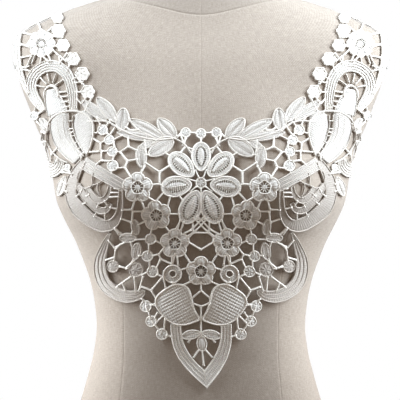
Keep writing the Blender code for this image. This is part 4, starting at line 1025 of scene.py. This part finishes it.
@dataclass
class HeartsAndPendant:
    """The two filled hearts with their scroll loops, and the pointed pendant with leaves and bud."""

    painted_light: float = 1.0
    heart: Rows = (
        (1.6, 318.5), (7.5, 322), (17, 324.5), (25.5, 323.5), (33, 319.5), (40.5, 311.3), (44.7, 303.5), (43, 296),
        (36.5, 290.2), (29.3, 285.7), (23, 284), (16.3, 285.6), (12.3, 289.2), (9.8, 296.5), (8, 304.5), (5.5, 312),
    )
    heart_centre: Pair = (25.0, 305.0)
    loop: Pair = (28.0, 273.6)
    loop_radii: Pair = (3.6, 8.6)
    stem: Rows = ((36.6, 270), (37, 277), (35.6, 284), (34.4, 290))
    tie: Rows = ((21.6, 279), (24.5, 281.5), (27, 285))
    pendant: Rows = (
        (25, 324, 9), (24.6, 333, 9.4), (23.4, 343, 9.8), (19.5, 354, 10.2), (13, 364.5, 10.6), (5.5, 373.5, 11),
        (0, 379, 11.4), (-5, 384, 11.6),
    )
    bud: Pair = (0.0, 343.5)
    bud_radii: Pair = (4.7, 7.4)
    arch_leaf: Rows = ((1, 332.5), (19.5, 336.5))
    arch_width: float = 8.4
    bars: Rows = (
        (0, 283, 0, 290.5), (0, 306, 0, 318.5), (0, 317, 0, 337.5), (0, 350, 0, 366), (2.6, 349, 9.5, 357.5),
        (3, 318, -3, 318), (10, 338, 13.5, 342.5), (44, 305.5, 50, 304), (42.5, 312, 46, 317), (35.5, 318, 36.5, 329),
        (54.5, 305, 49, 320), (49, 320, 38.8, 333.5), (35, 335, 28, 337), (59, 298, 56, 301),
    )
    within: Rows = ((-24, 325), (-12, 319.5), (12, 319.5), (24, 325), (22, 350), (0, 380), (-22, 350))

    def ring(self, hand: Stitcher) -> None:
        """The scroll loop: a satin ring whose dome is 0.5 + 0.5 sin(pi f)^0.6 between hole and rim."""
        angle = 2 * math.pi * np.arange(40)[:, None] / 40
        fractions = np.array((0.0, 0.15, 0.5, 0.85, 1.0))
        hole, rim = self.loop_radii
        distance = hole + (rim - hole) * fractions
        pattern = np.array(self.loop) + distance[:, None] * circle(0.0, 0.0, 1.0, 40)[:, None]
        lift = 0.5 + 0.5 * np.sin(math.pi * fractions) ** 0.6 * np.ones((40, 1))
        thread = np.stack((6.5 * angle + 0 * fractions, distance + 0 * angle), axis=-1)
        hand.ribbon(pattern, lift, thread, closed=True)
        hand.cord(pattern[:, -1], 1.7, 1.8, closed=True)
        hand.cord(pattern[:, 0], 1.6, 1.8, closed=True)
        hand.block(circle(*self.loop, rim, 20))

    def stitch(self, hand: Stitcher) -> None:
        """Makes hearts, loops, pendant, bud and their bars."""
        hand.patch(self.heart, self.heart_centre, ridge=3.0, slant=-28.0)
        self.ring(hand)
        hand.lines((self.stem,), 2.0, 1.9)
        hand.lines((self.tie,), 1.8, 1.8)
        hand.band(self.pendant, ribs=3, crest=0.55, cord=1.7, mitre=True, rib_cord=0.8)
        hand.leaf(*np.array(self.arch_leaf), self.arch_width, 0.6)
        fractions = np.array((0.4, 0.7, 0.9, 1.0))[:, None]
        pattern = np.array(self.bud) + fractions[..., None] * circle(0.0, 0.0, 1.0, 24) * self.bud_radii
        lift = 0.5 + 1.5 * (1 - fractions**2) * np.ones(24)
        hand.dome(np.array(self.bud), pattern, 2.0, lift, pattern)
        hand.cord(pattern[-1], 1.3, 1.6, closed=True)
        hand.bars(self.bars)
        hand.block(np.array(self.within))


@dataclass
class Net:
    """The net of bars: shared edges of the cells round given middles, between all the motifs."""

    painted_light: float = 1.0
    # Bars given one by one: the crossed pairs, then those of the neck edge and the armhole.
    bars: Rows = (
        (-8, 217, 6.5, 231.5), (-4.5, 215, 9.5, 229.5), (6.5, 231.5, 15, 237), (9.5, 229.5, 17, 233.5),
        (17, 220.5, 20.5, 231), (20.5, 219, 24, 230.5), (23.5, 256, 22.5, 265.5), (28.5, 256, 29, 265),
        (0, 139, 0, 144), (5, 133.5, 11, 133), (20, 134, 25, 137.5), (15.3, 138, 18, 146.5), (20.5, 134.5, 25, 138),
        (109.5, 122, 113, 121), (86, 118, 83, 121.5),
    )
    # Middles of the cells.
    cells: Rows = (
        (8.9, 142.2), (24.4, 147.6), (15, 155), (41.5, 163), (32.5, 176), (50.8, 176), (48, 193.5), (38, 203),
        (27.8, 206), (28, 220.5), (0, 213), (0, 225), (16.7, 226), (0, 240), (8.3, 254), (19.6, 261), (16, 276),
        (9.5, 289.5), (0, 299.3), (4.2, 311), (103.4, 126.7), (89.3, 128), (96.1, 122.5), (99, 138), (83.5, 132),
        (78.5, 143), (66, 143.7), (71.5, 153.5), (103.9, 146.2), (94.8, 146.6), (102.9, 157), (94.5, 156.5),
        (80.5, 161.8), (68.3, 167.5), (95.6, 165.7), (79, 174.5), (62.5, 206.5), (73, 204.2), (53.7, 202.7),
        (73.7, 214.4), (62.5, 215.3), (77.1, 225.1), (57.6, 229.5), (86.8, 236), (76, 254.5), (42, 234.5), (47, 248),
        (44.5, 261.5), (38.5, 264), (57.5, 262), (49.2, 282), (55, 296), (41.5, 288.5), (34.5, 256.5), (57, 247.5),
        (150, 50), (119, 98), (125, 68), (155, 140), (138, 186), (148, 24), (172, 34),
    )
    # The collar's outline, neck edge to tip.
    border: Rows = (
        (0, 134), (15.5, 133), (24.5, 138), (34, 127), (44, 123), (52, 130), (69, 121.5), (76, 112), (82, 123),
        (101, 98.5), (114.5, 92), (120.5, 75.5), (131, 60), (138, 45), (141, 30), (142, 12), (157, 16), (172, 24),
        (182.5, 38), (183, 56), (180, 71), (174, 85), (168.5, 97), (158, 108), (163.5, 115.5), (157, 127), (158, 137),
        (161, 150), (160, 164), (149.5, 173.5), (141.5, 184), (141, 193), (131.5, 193), (131, 205), (125.5, 214),
        (115, 221), (101, 226), (90, 228), (91.5, 235), (96.5, 249), (99.6, 260), (99.3, 271), (95, 283), (86, 292),
        (74.5, 297), (62, 296), (54, 305), (49, 320), (38.5, 333), (28, 331), (0, 326),
    )
    # Extent and pitch of the raster, greatest distance from a cell's middle, shortest bar, and how far a bar
    # runs on into a motif or into another bar.
    across: Pair = (-189.0, 189.1)
    drops: Pair = (8.0, 392.0)
    step: float = 0.9
    reach: float = 17.0
    shortest: float = 1.6
    overlaps: Pair = (1.3, 0.25)

    def labels(self, hand: Stitcher) -> tuple[Array, Array]:
        """Raster of the bare ground, each spot labelled by its nearest cell middle, 0 where not bare.

        Args:
            hand: The stitcher, which knows the motifs' outlines.

        Returns:
            The labels (columns, rows) and the pattern point of the first spot.
        """
        x, y = (np.arange(*ends, self.step) for ends in (self.across, self.drops))
        grid = np.stack(np.meshgrid(x, y, indexing="ij"), axis=-1).reshape(-1, 2)
        half = np.array(self.border)
        bare = inside_of(grid, np.vstack((half, half[::-1] * (-1.0, 1.0))))
        for outline in hand.blocked:
            bare &= ~inside_of(grid, outline)
        spots = grid[bare]
        middles = np.array(self.cells)
        middles = np.vstack((middles, middles[middles[:, 0] > 0.5] * (-1.0, 1.0)))
        distance = np.linalg.norm(spots[:, None] - middles[None], axis=-1)
        label = distance.argmin(1)
        nearest = distance.min(1)
        while nearest.max() > self.reach:
            far = spots[nearest.argmax()]
            for extra in (far, far * (-1.0, 1.0)):
                away = np.linalg.norm(spots - extra, axis=1)
                label = np.where(away < nearest, len(middles), label)
                nearest = np.minimum(nearest, away)
                middles = np.vstack((middles, extra))
        found = np.zeros(len(grid), dtype=int)
        found[bare] = label + 1
        return found.reshape(len(x), len(y)), np.array((x[0], y[0]))

    def stitch(self, hand: Stitcher) -> None:
        """Makes a bar along the straight edge between every two neighbouring cells.

        Those of the far half come as mirror images of the near one.
        """
        labels, origin = self.labels(hand)
        block = np.stack((labels[:-1, :-1], labels[1:, :-1], labels[:-1, 1:], labels[1:, 1:]), axis=-1)
        distinct = 1 + (np.diff(np.sort(block, axis=-1), axis=-1) != 0).sum(-1)
        ends: dict[tuple[int, int], list[tuple[float, float, bool]]] = {}
        for i, j in np.argwhere(distinct >= 3):
            corner = set(block[i, j].tolist())
            spot = (*(origin + (np.array((i, j)) + 0.5) * self.step), 0 in corner)
            for pair in combinations(sorted(corner - {0}), 2):
                ends.setdefault(pair, []).append(spot)
        for spots in ends.values():
            places = np.array(spots, dtype=float)
            apart = np.linalg.norm(places[:, None, :2] - places[None, :, :2], axis=-1)
            i, j = np.unravel_index(np.argmax(apart), apart.shape)
            if apart[i, j] < self.shortest:
                continue
            (a, b), (start, end) = places[[i, j], :2], np.where(places[[i, j], 2] > 0, *self.overlaps)
            along = (b - a) / apart[i, j]
            a, b = a - along * start, b + along * end
            if a[0] + b[0] > -0.6:
                hand.bar(a, b)
        hand.bars(self.bars)


class Nodes:
    """Small helper that builds one node tree."""

    def __init__(self, tree: bpy.types.NodeTree) -> None:
        """Keeps the tree."""
        self.tree = tree

    def node(self, kind: str, **values: object) -> bpy.types.Node:
        """A new node with its properties set."""
        made = self.tree.nodes.new(kind)
        for key, value in values.items():
            setattr(made, key, value)
        return made

    def put(self, value: object, socket: Socket) -> None:
        """Links a socket, or sets a constant, to the input of a node."""
        if isinstance(value, Socket):
            self.tree.links.new(value, socket)
        else:
            socket.default_value = value

    def fed(self, kind: str, inputs: dict[str, object], **values: object) -> bpy.types.Node:
        """A new node with its properties set and its inputs linked or set."""
        made = self.node(kind, **values)
        for key, value in inputs.items():
            self.put(value, made.inputs[key])
        return made

    def math(self, operation: str, *terms: object) -> Socket:
        """A math node over sockets or constants."""
        made = self.node("ShaderNodeMath", operation=operation)
        for place, term in enumerate(terms):
            self.put(term, made.inputs[place])
        return made.outputs[0]

    def wave(self, value: Socket, pitch: Socket) -> Socket:
        """sin(2 pi value / pitch)."""
        return self.math("SINE", self.math("MULTIPLY", self.math("DIVIDE", value, pitch), 2 * math.pi))

    def ramp(self, value: Socket, low: float, high: float, start: float = 0.0, end: float = 1.0) -> Socket:
        """A value from start to end mapped to low to high."""
        ends = {"Value": value, "From Min": start, "From Max": end, "To Min": low, "To Max": high}
        return self.fed("ShaderNodeMapRange", ends).outputs["Result"]

    def mix(self, factor: Socket, first: Triple, second: Triple | Socket) -> Socket:
        """A colour between two by a factor."""
        second = second if isinstance(second, Socket) else (*second, 1.0)
        sides = {"Factor": factor, "A": (*first, 1.0), "B": second}
        return self.fed("ShaderNodeMix", sides, data_type="RGBA").outputs["Result"]

    def shade(self, colour: Socket, value: Socket) -> Socket:
        """A colour times a value."""
        return self.fed("ShaderNodeVectorMath", {"Vector": colour, "Scale": value}, operation="SCALE").outputs[0]

    def noise(self, place: Socket, scale: Socket | float, detail: float) -> Socket:
        """Cloudy noise from 0 to 1."""
        return self.fed("ShaderNodeTexNoise", {"Vector": place, "Scale": scale, "Detail": detail}).outputs["Fac"]

    def parts(self, place: Socket) -> bpy.types.NodeOutputs:
        """The X, Y and Z of a place."""
        return self.fed("ShaderNodeSeparateXYZ", {"Vector": place}).outputs


@dataclass(frozen=True)
class Effect:
    """A shared effect: a node group from a coordinate and one value to one value."""

    name: str
    amount: str
    output: str
    fill: Callable[[Nodes, Socket, Socket], Socket]

    def group(self) -> bpy.types.NodeTree:
        """The group, made when it is first asked for."""
        if self.name in bpy.data.node_groups:
            return bpy.data.node_groups[self.name]
        tree = bpy.data.node_groups.new(self.name, "ShaderNodeTree")
        for key, way, kind in (("Coordinate", "INPUT", "Vector"), (self.amount, "INPUT", "Float"),
                               (self.output, "OUTPUT", "Float")):
            tree.interface.new_socket(key, in_out=way, socket_type="NodeSocket" + kind)
        source, sink = tree.nodes.new("NodeGroupInput"), tree.nodes.new("NodeGroupOutput")
        value = self.fill(Nodes(tree), source.outputs["Coordinate"], source.outputs[self.amount])
        tree.links.new(value, sink.inputs[self.output])
        return tree

    def on(self, build: Nodes, place: Socket, amount: float) -> Socket:
        """The effect's output in a material, at a place and with its value set."""
        inputs = {"Coordinate": place, self.amount: amount}
        return build.fed("ShaderNodeGroup", inputs, node_tree=self.group()).outputs[self.output]


def weave(build: Nodes, place: Socket, pitch: Socket) -> Socket:
    """Plain weave: height = (1 + sin(2 pi u / pitch) sin(2 pi v / pitch)) / 2."""
    parts = build.parts(place)
    product = build.math("MULTIPLY", build.wave(parts["X"], pitch), build.wave(parts["Y"], pitch))
    return build.ramp(product, 0.0, 1.0, -1.0)


def strands(build: Nodes, place: Socket, pitch: Socket) -> Socket:
    """Satin strands: height = (1 + sin(2 pi u / pitch)) / 2, the coordinate bent a little by noise."""
    bent = build.math("MULTIPLY_ADD", build.noise(place, 0.7, 1.0), 0.5, build.parts(place)["X"])
    return build.ramp(build.wave(bent, pitch), 0.0, 1.0, -1.0)


def slubs(build: Nodes, place: Socket, scale: Socket) -> Socket:
    """Slubs and dye clouds: noises stretched along both ways of the threads, added and spread to 0 to 1."""
    noises = []
    for stretch in ((1.0, 9.0, 1.0), (9.0, 1.0, 1.0)):
        scaled = build.node("ShaderNodeVectorMath", operation="MULTIPLY")
        build.put(place, scaled.inputs[0])
        build.put(stretch, scaled.inputs[1])
        noises.append(build.noise(scaled.outputs[0], scale, 3.0))
    return build.ramp(build.math("ADD", *noises), 0.0, 1.0, 0.7, 1.3)


WEAVE = Effect("plain_weave", "Pitch", "Height", weave)
STRANDS = Effect("satin_strands", "Pitch", "Height", strands)
SLUBS = Effect("slubs", "Scale", "Tone", slubs)


class Surface(Nodes):
    """The nodes of one material, on the piece's own UV map in millimetres."""

    def __init__(self, name: str) -> None:
        """Starts a material with its Principled shader."""
        self.material = bpy.data.materials.new(name)
        self.material.use_nodes = True
        super().__init__(self.material.node_tree)
        self.shader = self.tree.nodes["Principled BSDF"]

    def thread(self) -> Socket:
        """The thread coordinate."""
        return self.node("ShaderNodeUVMap", uv_map="thread").outputs["UV"]

    def attribute(self, name: str) -> Socket:
        """A value kept on the points of the mesh."""
        return self.node("ShaderNodeAttribute", attribute_name=name).outputs["Fac"]

    def finished(self, values: dict[str, object], height: Socket | None = None, bump: float = 0.0,
                 depth: float = 0.0) -> bpy.types.Material:
        """Feeds the shader.

        Args:
            values: Sockets or constants by the names of the shader's inputs.
            height: Height of the fine relief, if there is any.
            bump: Strength of the relief.
            depth: Depth of the relief in metres.

        Returns:
            The material.
        """
        for key, value in values.items():
            self.put(value, self.shader.inputs[key])
        if height is not None:
            relief = self.fed("ShaderNodeBump", {"Strength": bump, "Distance": depth, "Height": height})
            self.put(relief.outputs["Normal"], self.shader.inputs["Normal"])
        return self.material


@dataclass(frozen=True)
class LinenFinish:
    """Matt plain-weave linen with slubs, and painted shade over the front below the bust and on the neck."""

    light: Triple = (0.505, 0.438, 0.38)
    dark: Triple = (0.335, 0.286, 0.244)
    pitch: float = 2.0
    slub_scale: float = 0.16
    # Share of light left where the weave lies low and high.
    weave: Pair = (0.8, 1.04)
    roughness: Pair = (0.82, 0.95)
    bump: float = 0.25
    depth: float = 0.0004
    sheen: float = 0.12
    # Share of light left over the front below the bust and on the neck: painted shade.
    front: float = 0.845

    def material(self) -> bpy.types.Material:
        """The linen material."""
        build = Surface("linen_cover")
        place = build.thread()
        fabric, slub = WEAVE.on(build, place, self.pitch), SLUBS.on(build, place, self.slub_scale)
        colour = build.shade(build.mix(slub, self.dark, self.light), build.ramp(fabric, *self.weave))
        # Painted shade over the front below the bust and on the neck.
        colour = build.shade(colour, build.ramp(build.attribute("shaded_panel"), 1.0, self.front))
        height = build.math("ADD", fabric, build.ramp(slub, 0.0, 0.8))
        values = {"Base Color": colour, "Roughness": build.ramp(slub, *self.roughness), "Sheen Weight": self.sheen}
        return build.finished(values, height, self.bump, self.depth)


@dataclass(frozen=True)
class ThreadFinish:
    """Satin-stitched cotton thread: bundles of fine strands, with painted shade between the strands and where the
    thread lies low.
    """

    name: str = "satin_thread"
    # Colour of the thread on its strands' crests, and the painted shade between them.
    light: Triple = (0.97, 0.955, 0.93)
    dark: Triple = (0.63, 0.621, 0.606)
    pitch: float = 2.1
    fine: float = 0.5
    slub_scale: float = 0.3
    # Painted shade: share of light left where the thread lies at its lowest.
    painted_crevice_shade: float = 0.66
    roughness: Pair = (0.75, 0.5)
    bump: float = 0.7
    depth: float = 0.0004
    sheen: float = 0.2
    specular: float = 0.35
    # The dark warm tone that the thread colour is mixed towards as painted shade.
    ground: Triple = (0.36, 0.31, 0.27)

    def material(self) -> bpy.types.Material:
        """The thread material: ground tone to thread by the painted light, thread dark to light by strand height and
        mottle, times the painted crevice shade; all but the mottle is painted shade.
        """
        build = Surface(self.name)
        place = build.thread()
        bundle, strand = STRANDS.on(build, place, self.pitch), STRANDS.on(build, place, self.fine)
        slub = SLUBS.on(build, place, self.slub_scale)
        height = build.math("ADD", build.ramp(bundle, 0.0, 0.7), build.ramp(strand, 0.0, 0.3))
        mottle = build.math("ADD", build.ramp(build.attribute("tone"), -0.1, 0.1), build.ramp(slub, -0.5, 0.42))
        # Painted shade between the strands: the colour runs dark to light with their height; the mottle of slubs and
        # tone is the thread's own.
        tone = build.math("ADD", build.ramp(height, 0.1, 0.8), mottle)
        # Painted shade where the thread lies low: the colour darkens with its lift over the form.
        low = build.ramp(build.attribute("lift"), self.painted_crevice_shade, 1.0, 0.35, 1.35)
        # Painted shade: the colour is mixed towards the ground tone by the motif's painted light, broken up by slubs.
        share = build.math("ADD", build.attribute("painted_light"), build.ramp(slub, -0.2, 0.2))
        colour = build.mix(share, self.ground, build.shade(build.mix(tone, self.dark, self.light), low))
        values = {"Base Color": colour, "Roughness": build.ramp(height, *self.roughness),
                  "Sheen Weight": self.sheen, "Specular IOR Level": self.specular}
        return build.finished(values, height, self.bump, self.depth)


@dataclass
class DressForm:
    """The linen cover of the form: one closed surface with sewn seams pressed into it."""

    skin: Skin
    finish: LinenFinish = LinenFinish()
    # Princess seam: height and turn from the front in degrees.
    princess: Rows = ((0, 45), (150, 48), (235, 50.5), (300, 48), (384, 40), (500, 34), (560, 40), (650, 46))
    back_princess: float = 146.0
    seam_depth: float = 0.3
    seam_widths: Pair = (0.5, 0.6)
    # Height of the swell beside a seam, how far from the seam it is, and how wide.
    puff: Triple = (0.12, 2.0, 0.9)
    # Heights where the seams of the bust begin and where the panel ends, and how softly.
    bust_line: Pair = (425.0, 12.0)
    panel_top: Pair = (330.0, 25.0)
    panel_edge: float = 1.2
    neck_seam: float = 561.0
    neck_blend: float = 50.0
    neck_curve: Pair = (60.0, 0.06)
    # Columns between two seams, pitch of the rows, and the radius that the weave is wound on.
    fillers: int = 26
    row_step: float = 3.3
    winding: float = 120.0

    def princess_turn(self, height: Array) -> Array:
        """Turn of the front princess seam."""
        levels, turns = np.array(self.princess).T
        return np.radians(np.interp(height, levels, turns))

    def seam_turns(self, height: Array) -> Array:
        """Turns of the seams of one side, front to back (seams, heights)."""
        others = np.array((0.0, 0.5 * math.pi, math.radians(self.back_princess), math.pi))
        return np.insert(others[:, None] + 0 * height, 1, self.princess_turn(height), axis=0)

    def neck_rise(self, turn: Array) -> Array:
        """Rise of the neck seam over its front: high (sqrt(soft + sin^2(turn/2)) - sqrt(soft))."""
        high, soft = self.neck_curve
        return high * (np.sqrt(soft + np.sin(0.5 * turn) ** 2) - math.sqrt(soft))

    def seam_shares(self, height: Array) -> Array:
        """How deep the seams of one side are sewn in (seams, heights).

        The one on the centre line shows over the bust alone, s/2, and the princess seam under it, 0.6 - 0.4 s,
        with s rising from 0 to 1 at the bust line.
        """
        chest = fade((self.bust_line[0] - height) / self.bust_line[1])
        return np.stack((0.5 * chest, 0.6 - 0.4 * chest, *np.ones((3, len(height)))))

    def build(self) -> Piece:
        """The cover as a grid whose columns follow the upright seams and whose rows follow the neck seam.

        Each point is skin point - normal x depth x bell(d / width), d its distance from a seam, and the cloth
        swells a little beside it.

        Returns:
            The new object.
        """
        offsets = np.array((-2.4, -1.2, -0.6, -0.25, 0.0, 0.25, 0.6, 1.2, 2.4))
        lower = np.arange(0.0, self.neck_seam - 10.0, self.row_step)
        upper = np.arange(self.neck_seam + 10.0, self.skin.top - 1.0, self.row_step)
        near = self.neck_seam + np.concatenate(((-7.0, -4.5), offsets, (4.5, 7.0)))
        levels = np.concatenate((lower, near, upper, (self.skin.top,)))
        seams = self.seam_turns(levels)
        radius = self.skin.reach(seams, levels)
        shares = self.seam_shares(levels)
        columns, distances, sewn = [], [], []
        for k in range(seams.shape[0] - 1):
            head = seams[k] + offsets[4:, None] / radius[k]
            tail = seams[k + 1] + offsets[:4, None] / radius[k + 1]
            t = np.linspace(0.0, 1.0, self.fillers + 2)[1:-1, None]
            columns += [head, head[-1] + (tail[0] - head[-1]) * t, tail]
            distances += [np.abs(offsets[4:]), np.full(self.fillers, 9.0), np.abs(offsets[:4])]
            sewn += [np.tile(shares[k], (5, 1)), np.tile(shares[k + 1], (self.fillers + 4, 1))]
        half, gap, deep = np.vstack(columns), np.concatenate(distances), np.vstack(sewn)
        turn = np.vstack((half, np.full((1, len(levels)), math.pi), -half[:0:-1])).T
        gap = np.concatenate((gap, (0.0,), gap[:0:-1]))
        deep = np.vstack((deep, shares[-1:], deep[:0:-1])).T
        neck = np.abs(levels - self.neck_seam)[:, None]
        height = levels[:, None] + self.neck_rise(turn) * bell(neck / self.neck_blend)
        height = np.clip(height, 0.0, self.skin.top)
        points = self.skin.at(turn, height)
        (upright, level), (rise, beside, wide) = self.seam_widths, self.puff
        depth = np.maximum(deep * bell(gap / upright), bell(neck / level))
        puff = np.maximum(deep * bell((gap - beside) / wide), bell((neck - beside) / wide))
        away = self.skin.normals(points) * (rise * puff - self.seam_depth * depth)[..., None]
        inside = (height > 1.0) & (height < self.skin.top - 1.0)
        return self.closed_grid(np.where(inside[..., None], points + away, points), turn, height)

    def closed_grid(self, points: Array, turn: Array, height: Array) -> Piece:
        """Joins the grid round the axis and closes it with a base and a neck face.

        Args:
            points: Grid (rows, columns, 3).
            turn: Turn of each point.
            height: Height of each point.

        Returns:
            The new object.
        """
        rows, columns = turn.shape
        index = np.arange(rows * columns).reshape(rows, columns)
        after = np.roll(index, -1, 1)
        quads = np.stack((index[:-1], after[:-1], after[1:], index[1:]), axis=-1)
        around = np.stack((self.winding * np.where(turn < 0, turn + 2 * math.pi, turn), height), axis=-1)
        right = np.roll(around, -1, 1)
        right[:, -1, 0] = 2 * math.pi * self.winding
        uv = np.stack((around[:-1], right[:-1], right[1:], around[1:]), axis=-2)
        caps = np.concatenate((index[0, ::-1], index[-1]))
        loops = np.concatenate((quads.ravel(), caps))
        thread = np.vstack((uv.reshape(-1, 2), points.reshape(-1, 3)[caps, :2]))
        sizes = np.concatenate((np.full(quads.shape[0] * columns, 4), (columns, columns)))
        # The share of painted shade is kept on the points.
        cover = new_mesh("form_cover", points.reshape(-1, 3), loops, sizes, thread, self.finish.material(),
                         {"shaded_panel": self.shaded_panel(turn, height)})
        cover.data.polygons.foreach_set("use_smooth", np.arange(len(sizes)) < len(sizes) - 2)
        self.sharpen(cover, (index[0], index[-1]))
        return cover

    def shaded_panel(self, turn: Array, height: Array) -> Array:
        """Share of painted shade over the front below the bust and on the neck.

        The panel's fades out past its seam and towards its top, and the neck's below the neck seam.
        """
        past = self.winding * (np.abs(turn) - self.princess_turn(height))
        shaded_panel = fade(past / self.panel_edge) * fade((height - self.panel_top[0]) / self.panel_top[1])
        return shaded_panel + fade(self.neck_seam + self.neck_rise(turn) - height)

    def sharpen(self, cover: Piece, rims: tuple[Array, ...]) -> None:
        """Marks the edges between the points of each rim as sharp."""
        mesh = cover.data
        pairs = np.zeros(len(mesh.edges) * 2, dtype=np.int32)
        mesh.edges.foreach_get("vertices", pairs)
        sharp = np.any([np.isin(pairs.reshape(-1, 2), rim).all(1) for rim in rims], axis=0)
        attribute = mesh.attributes.get("sharp_edge") or mesh.attributes.new("sharp_edge", "BOOLEAN", "EDGE")
        attribute.data.foreach_set("value", sharp)


@dataclass
class Collar:
    """The whole collar: motifs, edge cords and net, laid on the form."""

    skin: Skin
    satin_finish: ThreadFinish = ThreadFinish()
    cord_finish: ThreadFinish = ThreadFinish("cord_thread", (0.96, 0.93, 0.885), (0.88, 0.85, 0.805), 2.4, 0.6,
                                             painted_crevice_shade=0.75)
    parts: tuple = (MiddleFlower(), LobedFlowers(), DiscsAndSpangles(), LeafSprays(), StrapWork(), SidePod(),
                    BustCrescent(), LowerScallop(), HeartsAndPendant(), Net())

    def build(self) -> list[Piece]:
        """Stitches every part and returns the satin, the cords and the net."""
        hand = Stitcher(self.skin, Work("lace_satin"), Work("lace_cords"), Work("lace_net"))
        for part in self.parts:
            # Each part's painted light sets how much painted shade its thread colour gets.
            hand.paint_light(part.painted_light)
            part.stitch(hand)
        satin, cord = self.satin_finish.material(), self.cord_finish.material()
        return [work.finish(self.skin, material)
                for work, material in ((hand.satin, satin), (hand.cords, cord), (hand.net, cord))]


@dataclass(frozen=True)
class Softbox:
    """One area light, its beam narrowed by a grid (180 degrees is none)."""

    name: str
    place: Triple
    aim: Triple
    width: float
    height: float
    power: float
    colour: Triple = (1.0, 1.0, 1.0)
    grid: float = 180.0

    def set_up(self) -> None:
        """Adds the light to the scene, turned towards its aim."""
        data = bpy.data.lights.new(self.name, "AREA")
        data.shape = "RECTANGLE"
        data.size, data.size_y = self.width, self.height
        data.energy = self.power
        data.spread = math.radians(self.grid)
        data.color = self.colour
        light = bpy.data.objects.new(self.name, data)
        light.location = self.place
        way = np.array(self.aim) - np.array(self.place)
        away = -way / np.linalg.norm(way)
        light.rotation_euler = (math.acos(away[2]), 0.0, math.atan2(away[1], away[0]) + math.pi / 2)
        bpy.context.collection.objects.link(light)


@dataclass
class Studio:
    """Plain pale floor, soft light and the camera."""

    lights: tuple[Softbox, ...] = (
        Softbox("left_key", (-1.0, -0.36, 1.45), (0.0, -0.1, 0.54), 0.5, 0.5, 1.46, (0.84, 0.93, 1.0), 40.0),
        Softbox("right_key", (1.1, -0.36, 1.45), (0.0, -0.1, 0.54), 0.5, 0.5, 1.88, (0.84, 0.93, 1.0), 40.0),
        Softbox("left_high", (-1.3, -0.24, 0.95), (0.0, -0.1, 0.61), 0.4, 0.4, 1.22, (0.86, 0.94, 1.0), 40.0),
        Softbox("right_high", (1.3, -0.24, 0.95), (0.0, -0.1, 0.61), 0.4, 0.4, 1.82, (0.86, 0.94, 1.0), 40.0),
        Softbox("left_side", (-1.15, 0.16, 0.28), (0.0, 0.0, 0.12), 0.4, 0.5, 1.52, (0.95, 0.98, 1.0), 40.0),
        Softbox("right_side", (1.15, 0.16, 0.28), (0.0, 0.0, 0.12), 0.4, 0.5, 1.07, (0.95, 0.98, 1.0), 40.0),
        Softbox("front_high", (0.0, -1.7, 0.8), (0.0, -0.1, 0.5), 0.4, 0.4, 0.08, (0.92, 0.97, 1.0), 36.0),
        Softbox("front_fill", (0.0, -1.7, 0.5), (0.0, -0.1, 0.35), 0.5, 0.5, 3.05, (1.0, 0.74, 0.52)),
    )
    # Radius in metres, corners, top and bottom in millimetres, and the two tones of the floor.
    floor_radius: float = 0.95
    corners: int = 96
    levels: Pair = (-0.2, -8.2)
    paper: tuple[Triple, Triple] = ((0.84, 0.835, 0.83), (0.88, 0.875, 0.87))
    ambient: Triple = (1.0, 0.85, 0.72)
    ambient_strength: float = 0.15
    viewpoint: Triple = (-0.001, -1.5, 0.370)
    # Focal length and width of the sensor in millimetres.
    lens: Pair = (125.1, 36.0)

    def set_up(self) -> None:
        """Makes floor, lights, world and camera."""
        self.floor()
        for light in self.lights:
            light.set_up()
        self.world()
        self.camera()

    def floor(self) -> None:
        """A pale round floor under the form."""
        n = self.corners
        ring = circle(0.0, 0.0, self.floor_radius / MM, n)
        both = np.vstack([np.column_stack((ring, np.full(n, level))) for level in self.levels])
        index = np.arange(n)
        after = np.roll(index, -1)
        walls = np.stack((index, after, after + n, index + n), axis=-1)
        loops = np.concatenate((walls.ravel(), index[::-1], index + n))
        sizes = np.concatenate((np.full(n, 4), (n, n)))
        build = Surface("floor_paper")
        tone = SLUBS.on(build, build.node("ShaderNodeTexCoord").outputs["Object"], 3.0)
        paper = build.finished({"Base Color": build.mix(tone, *self.paper), "Roughness": 0.9})
        floor = new_mesh("floor", both, loops, sizes, both[loops, :2], paper, {})
        floor.data.polygons.foreach_set("use_smooth", np.zeros(n + 2, dtype=bool))
        floor.visible_diffuse = False

    def world(self) -> None:
        """A white backdrop for the eye and a soft dim light for the object."""
        world = bpy.data.worlds.new("studio")
        world.use_nodes = True
        build = Nodes(world.node_tree)
        white = build.fed("ShaderNodeBackground", {"Color": (1.0, 1.0, 1.0, 1.0)})
        soft = build.tree.nodes["Background"]
        build.put((*self.ambient, 1.0), soft.inputs["Color"])
        build.put(self.ambient_strength, soft.inputs["Strength"])
        mix = build.node("ShaderNodeMixShader")
        sources = (build.node("ShaderNodeLightPath").outputs["Is Camera Ray"], soft.outputs[0], white.outputs[0])
        for place, source in enumerate(sources):
            build.put(source, mix.inputs[place])
        build.put(mix.outputs[0], build.tree.nodes["World Output"].inputs["Surface"])
        bpy.context.scene.world = world
        bpy.context.scene.view_settings.view_transform = "Standard"

    def camera(self) -> None:
        """A level view of the front, 1.5 m from the axis, 370 mm over the base."""
        data = bpy.data.cameras.new("camera")
        data.lens, data.sensor_width = self.lens
        camera = bpy.data.objects.new("camera", data)
        camera.location = self.viewpoint
        camera.rotation_euler = (math.pi / 2, 0.0, 0.0)
        bpy.context.collection.objects.link(camera)
        bpy.context.scene.camera = camera


def main() -> None:
    """Builds the form, the collar and the studio, and ties the pieces to the CAD."""
    skin = Skin()
    cover = DressForm(skin).build()
    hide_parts("dress_form")
    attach(cover, BODY)
    log.info("%s: %d faces", cover.name, len(cover.data.polygons))
    satin, cords, net = Collar(Skin(BUST + DRAPE)).build()
    for piece in (satin, cords, net):
        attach(piece, BODY)
        log.info("%s: %d faces", piece.name, len(piece.data.polygons))
    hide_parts("lace_collar")
    Studio().set_up()


if __name__ == "__main__":
    logging.basicConfig(level=logging.INFO, format="%(name)s %(message)s")
    main()
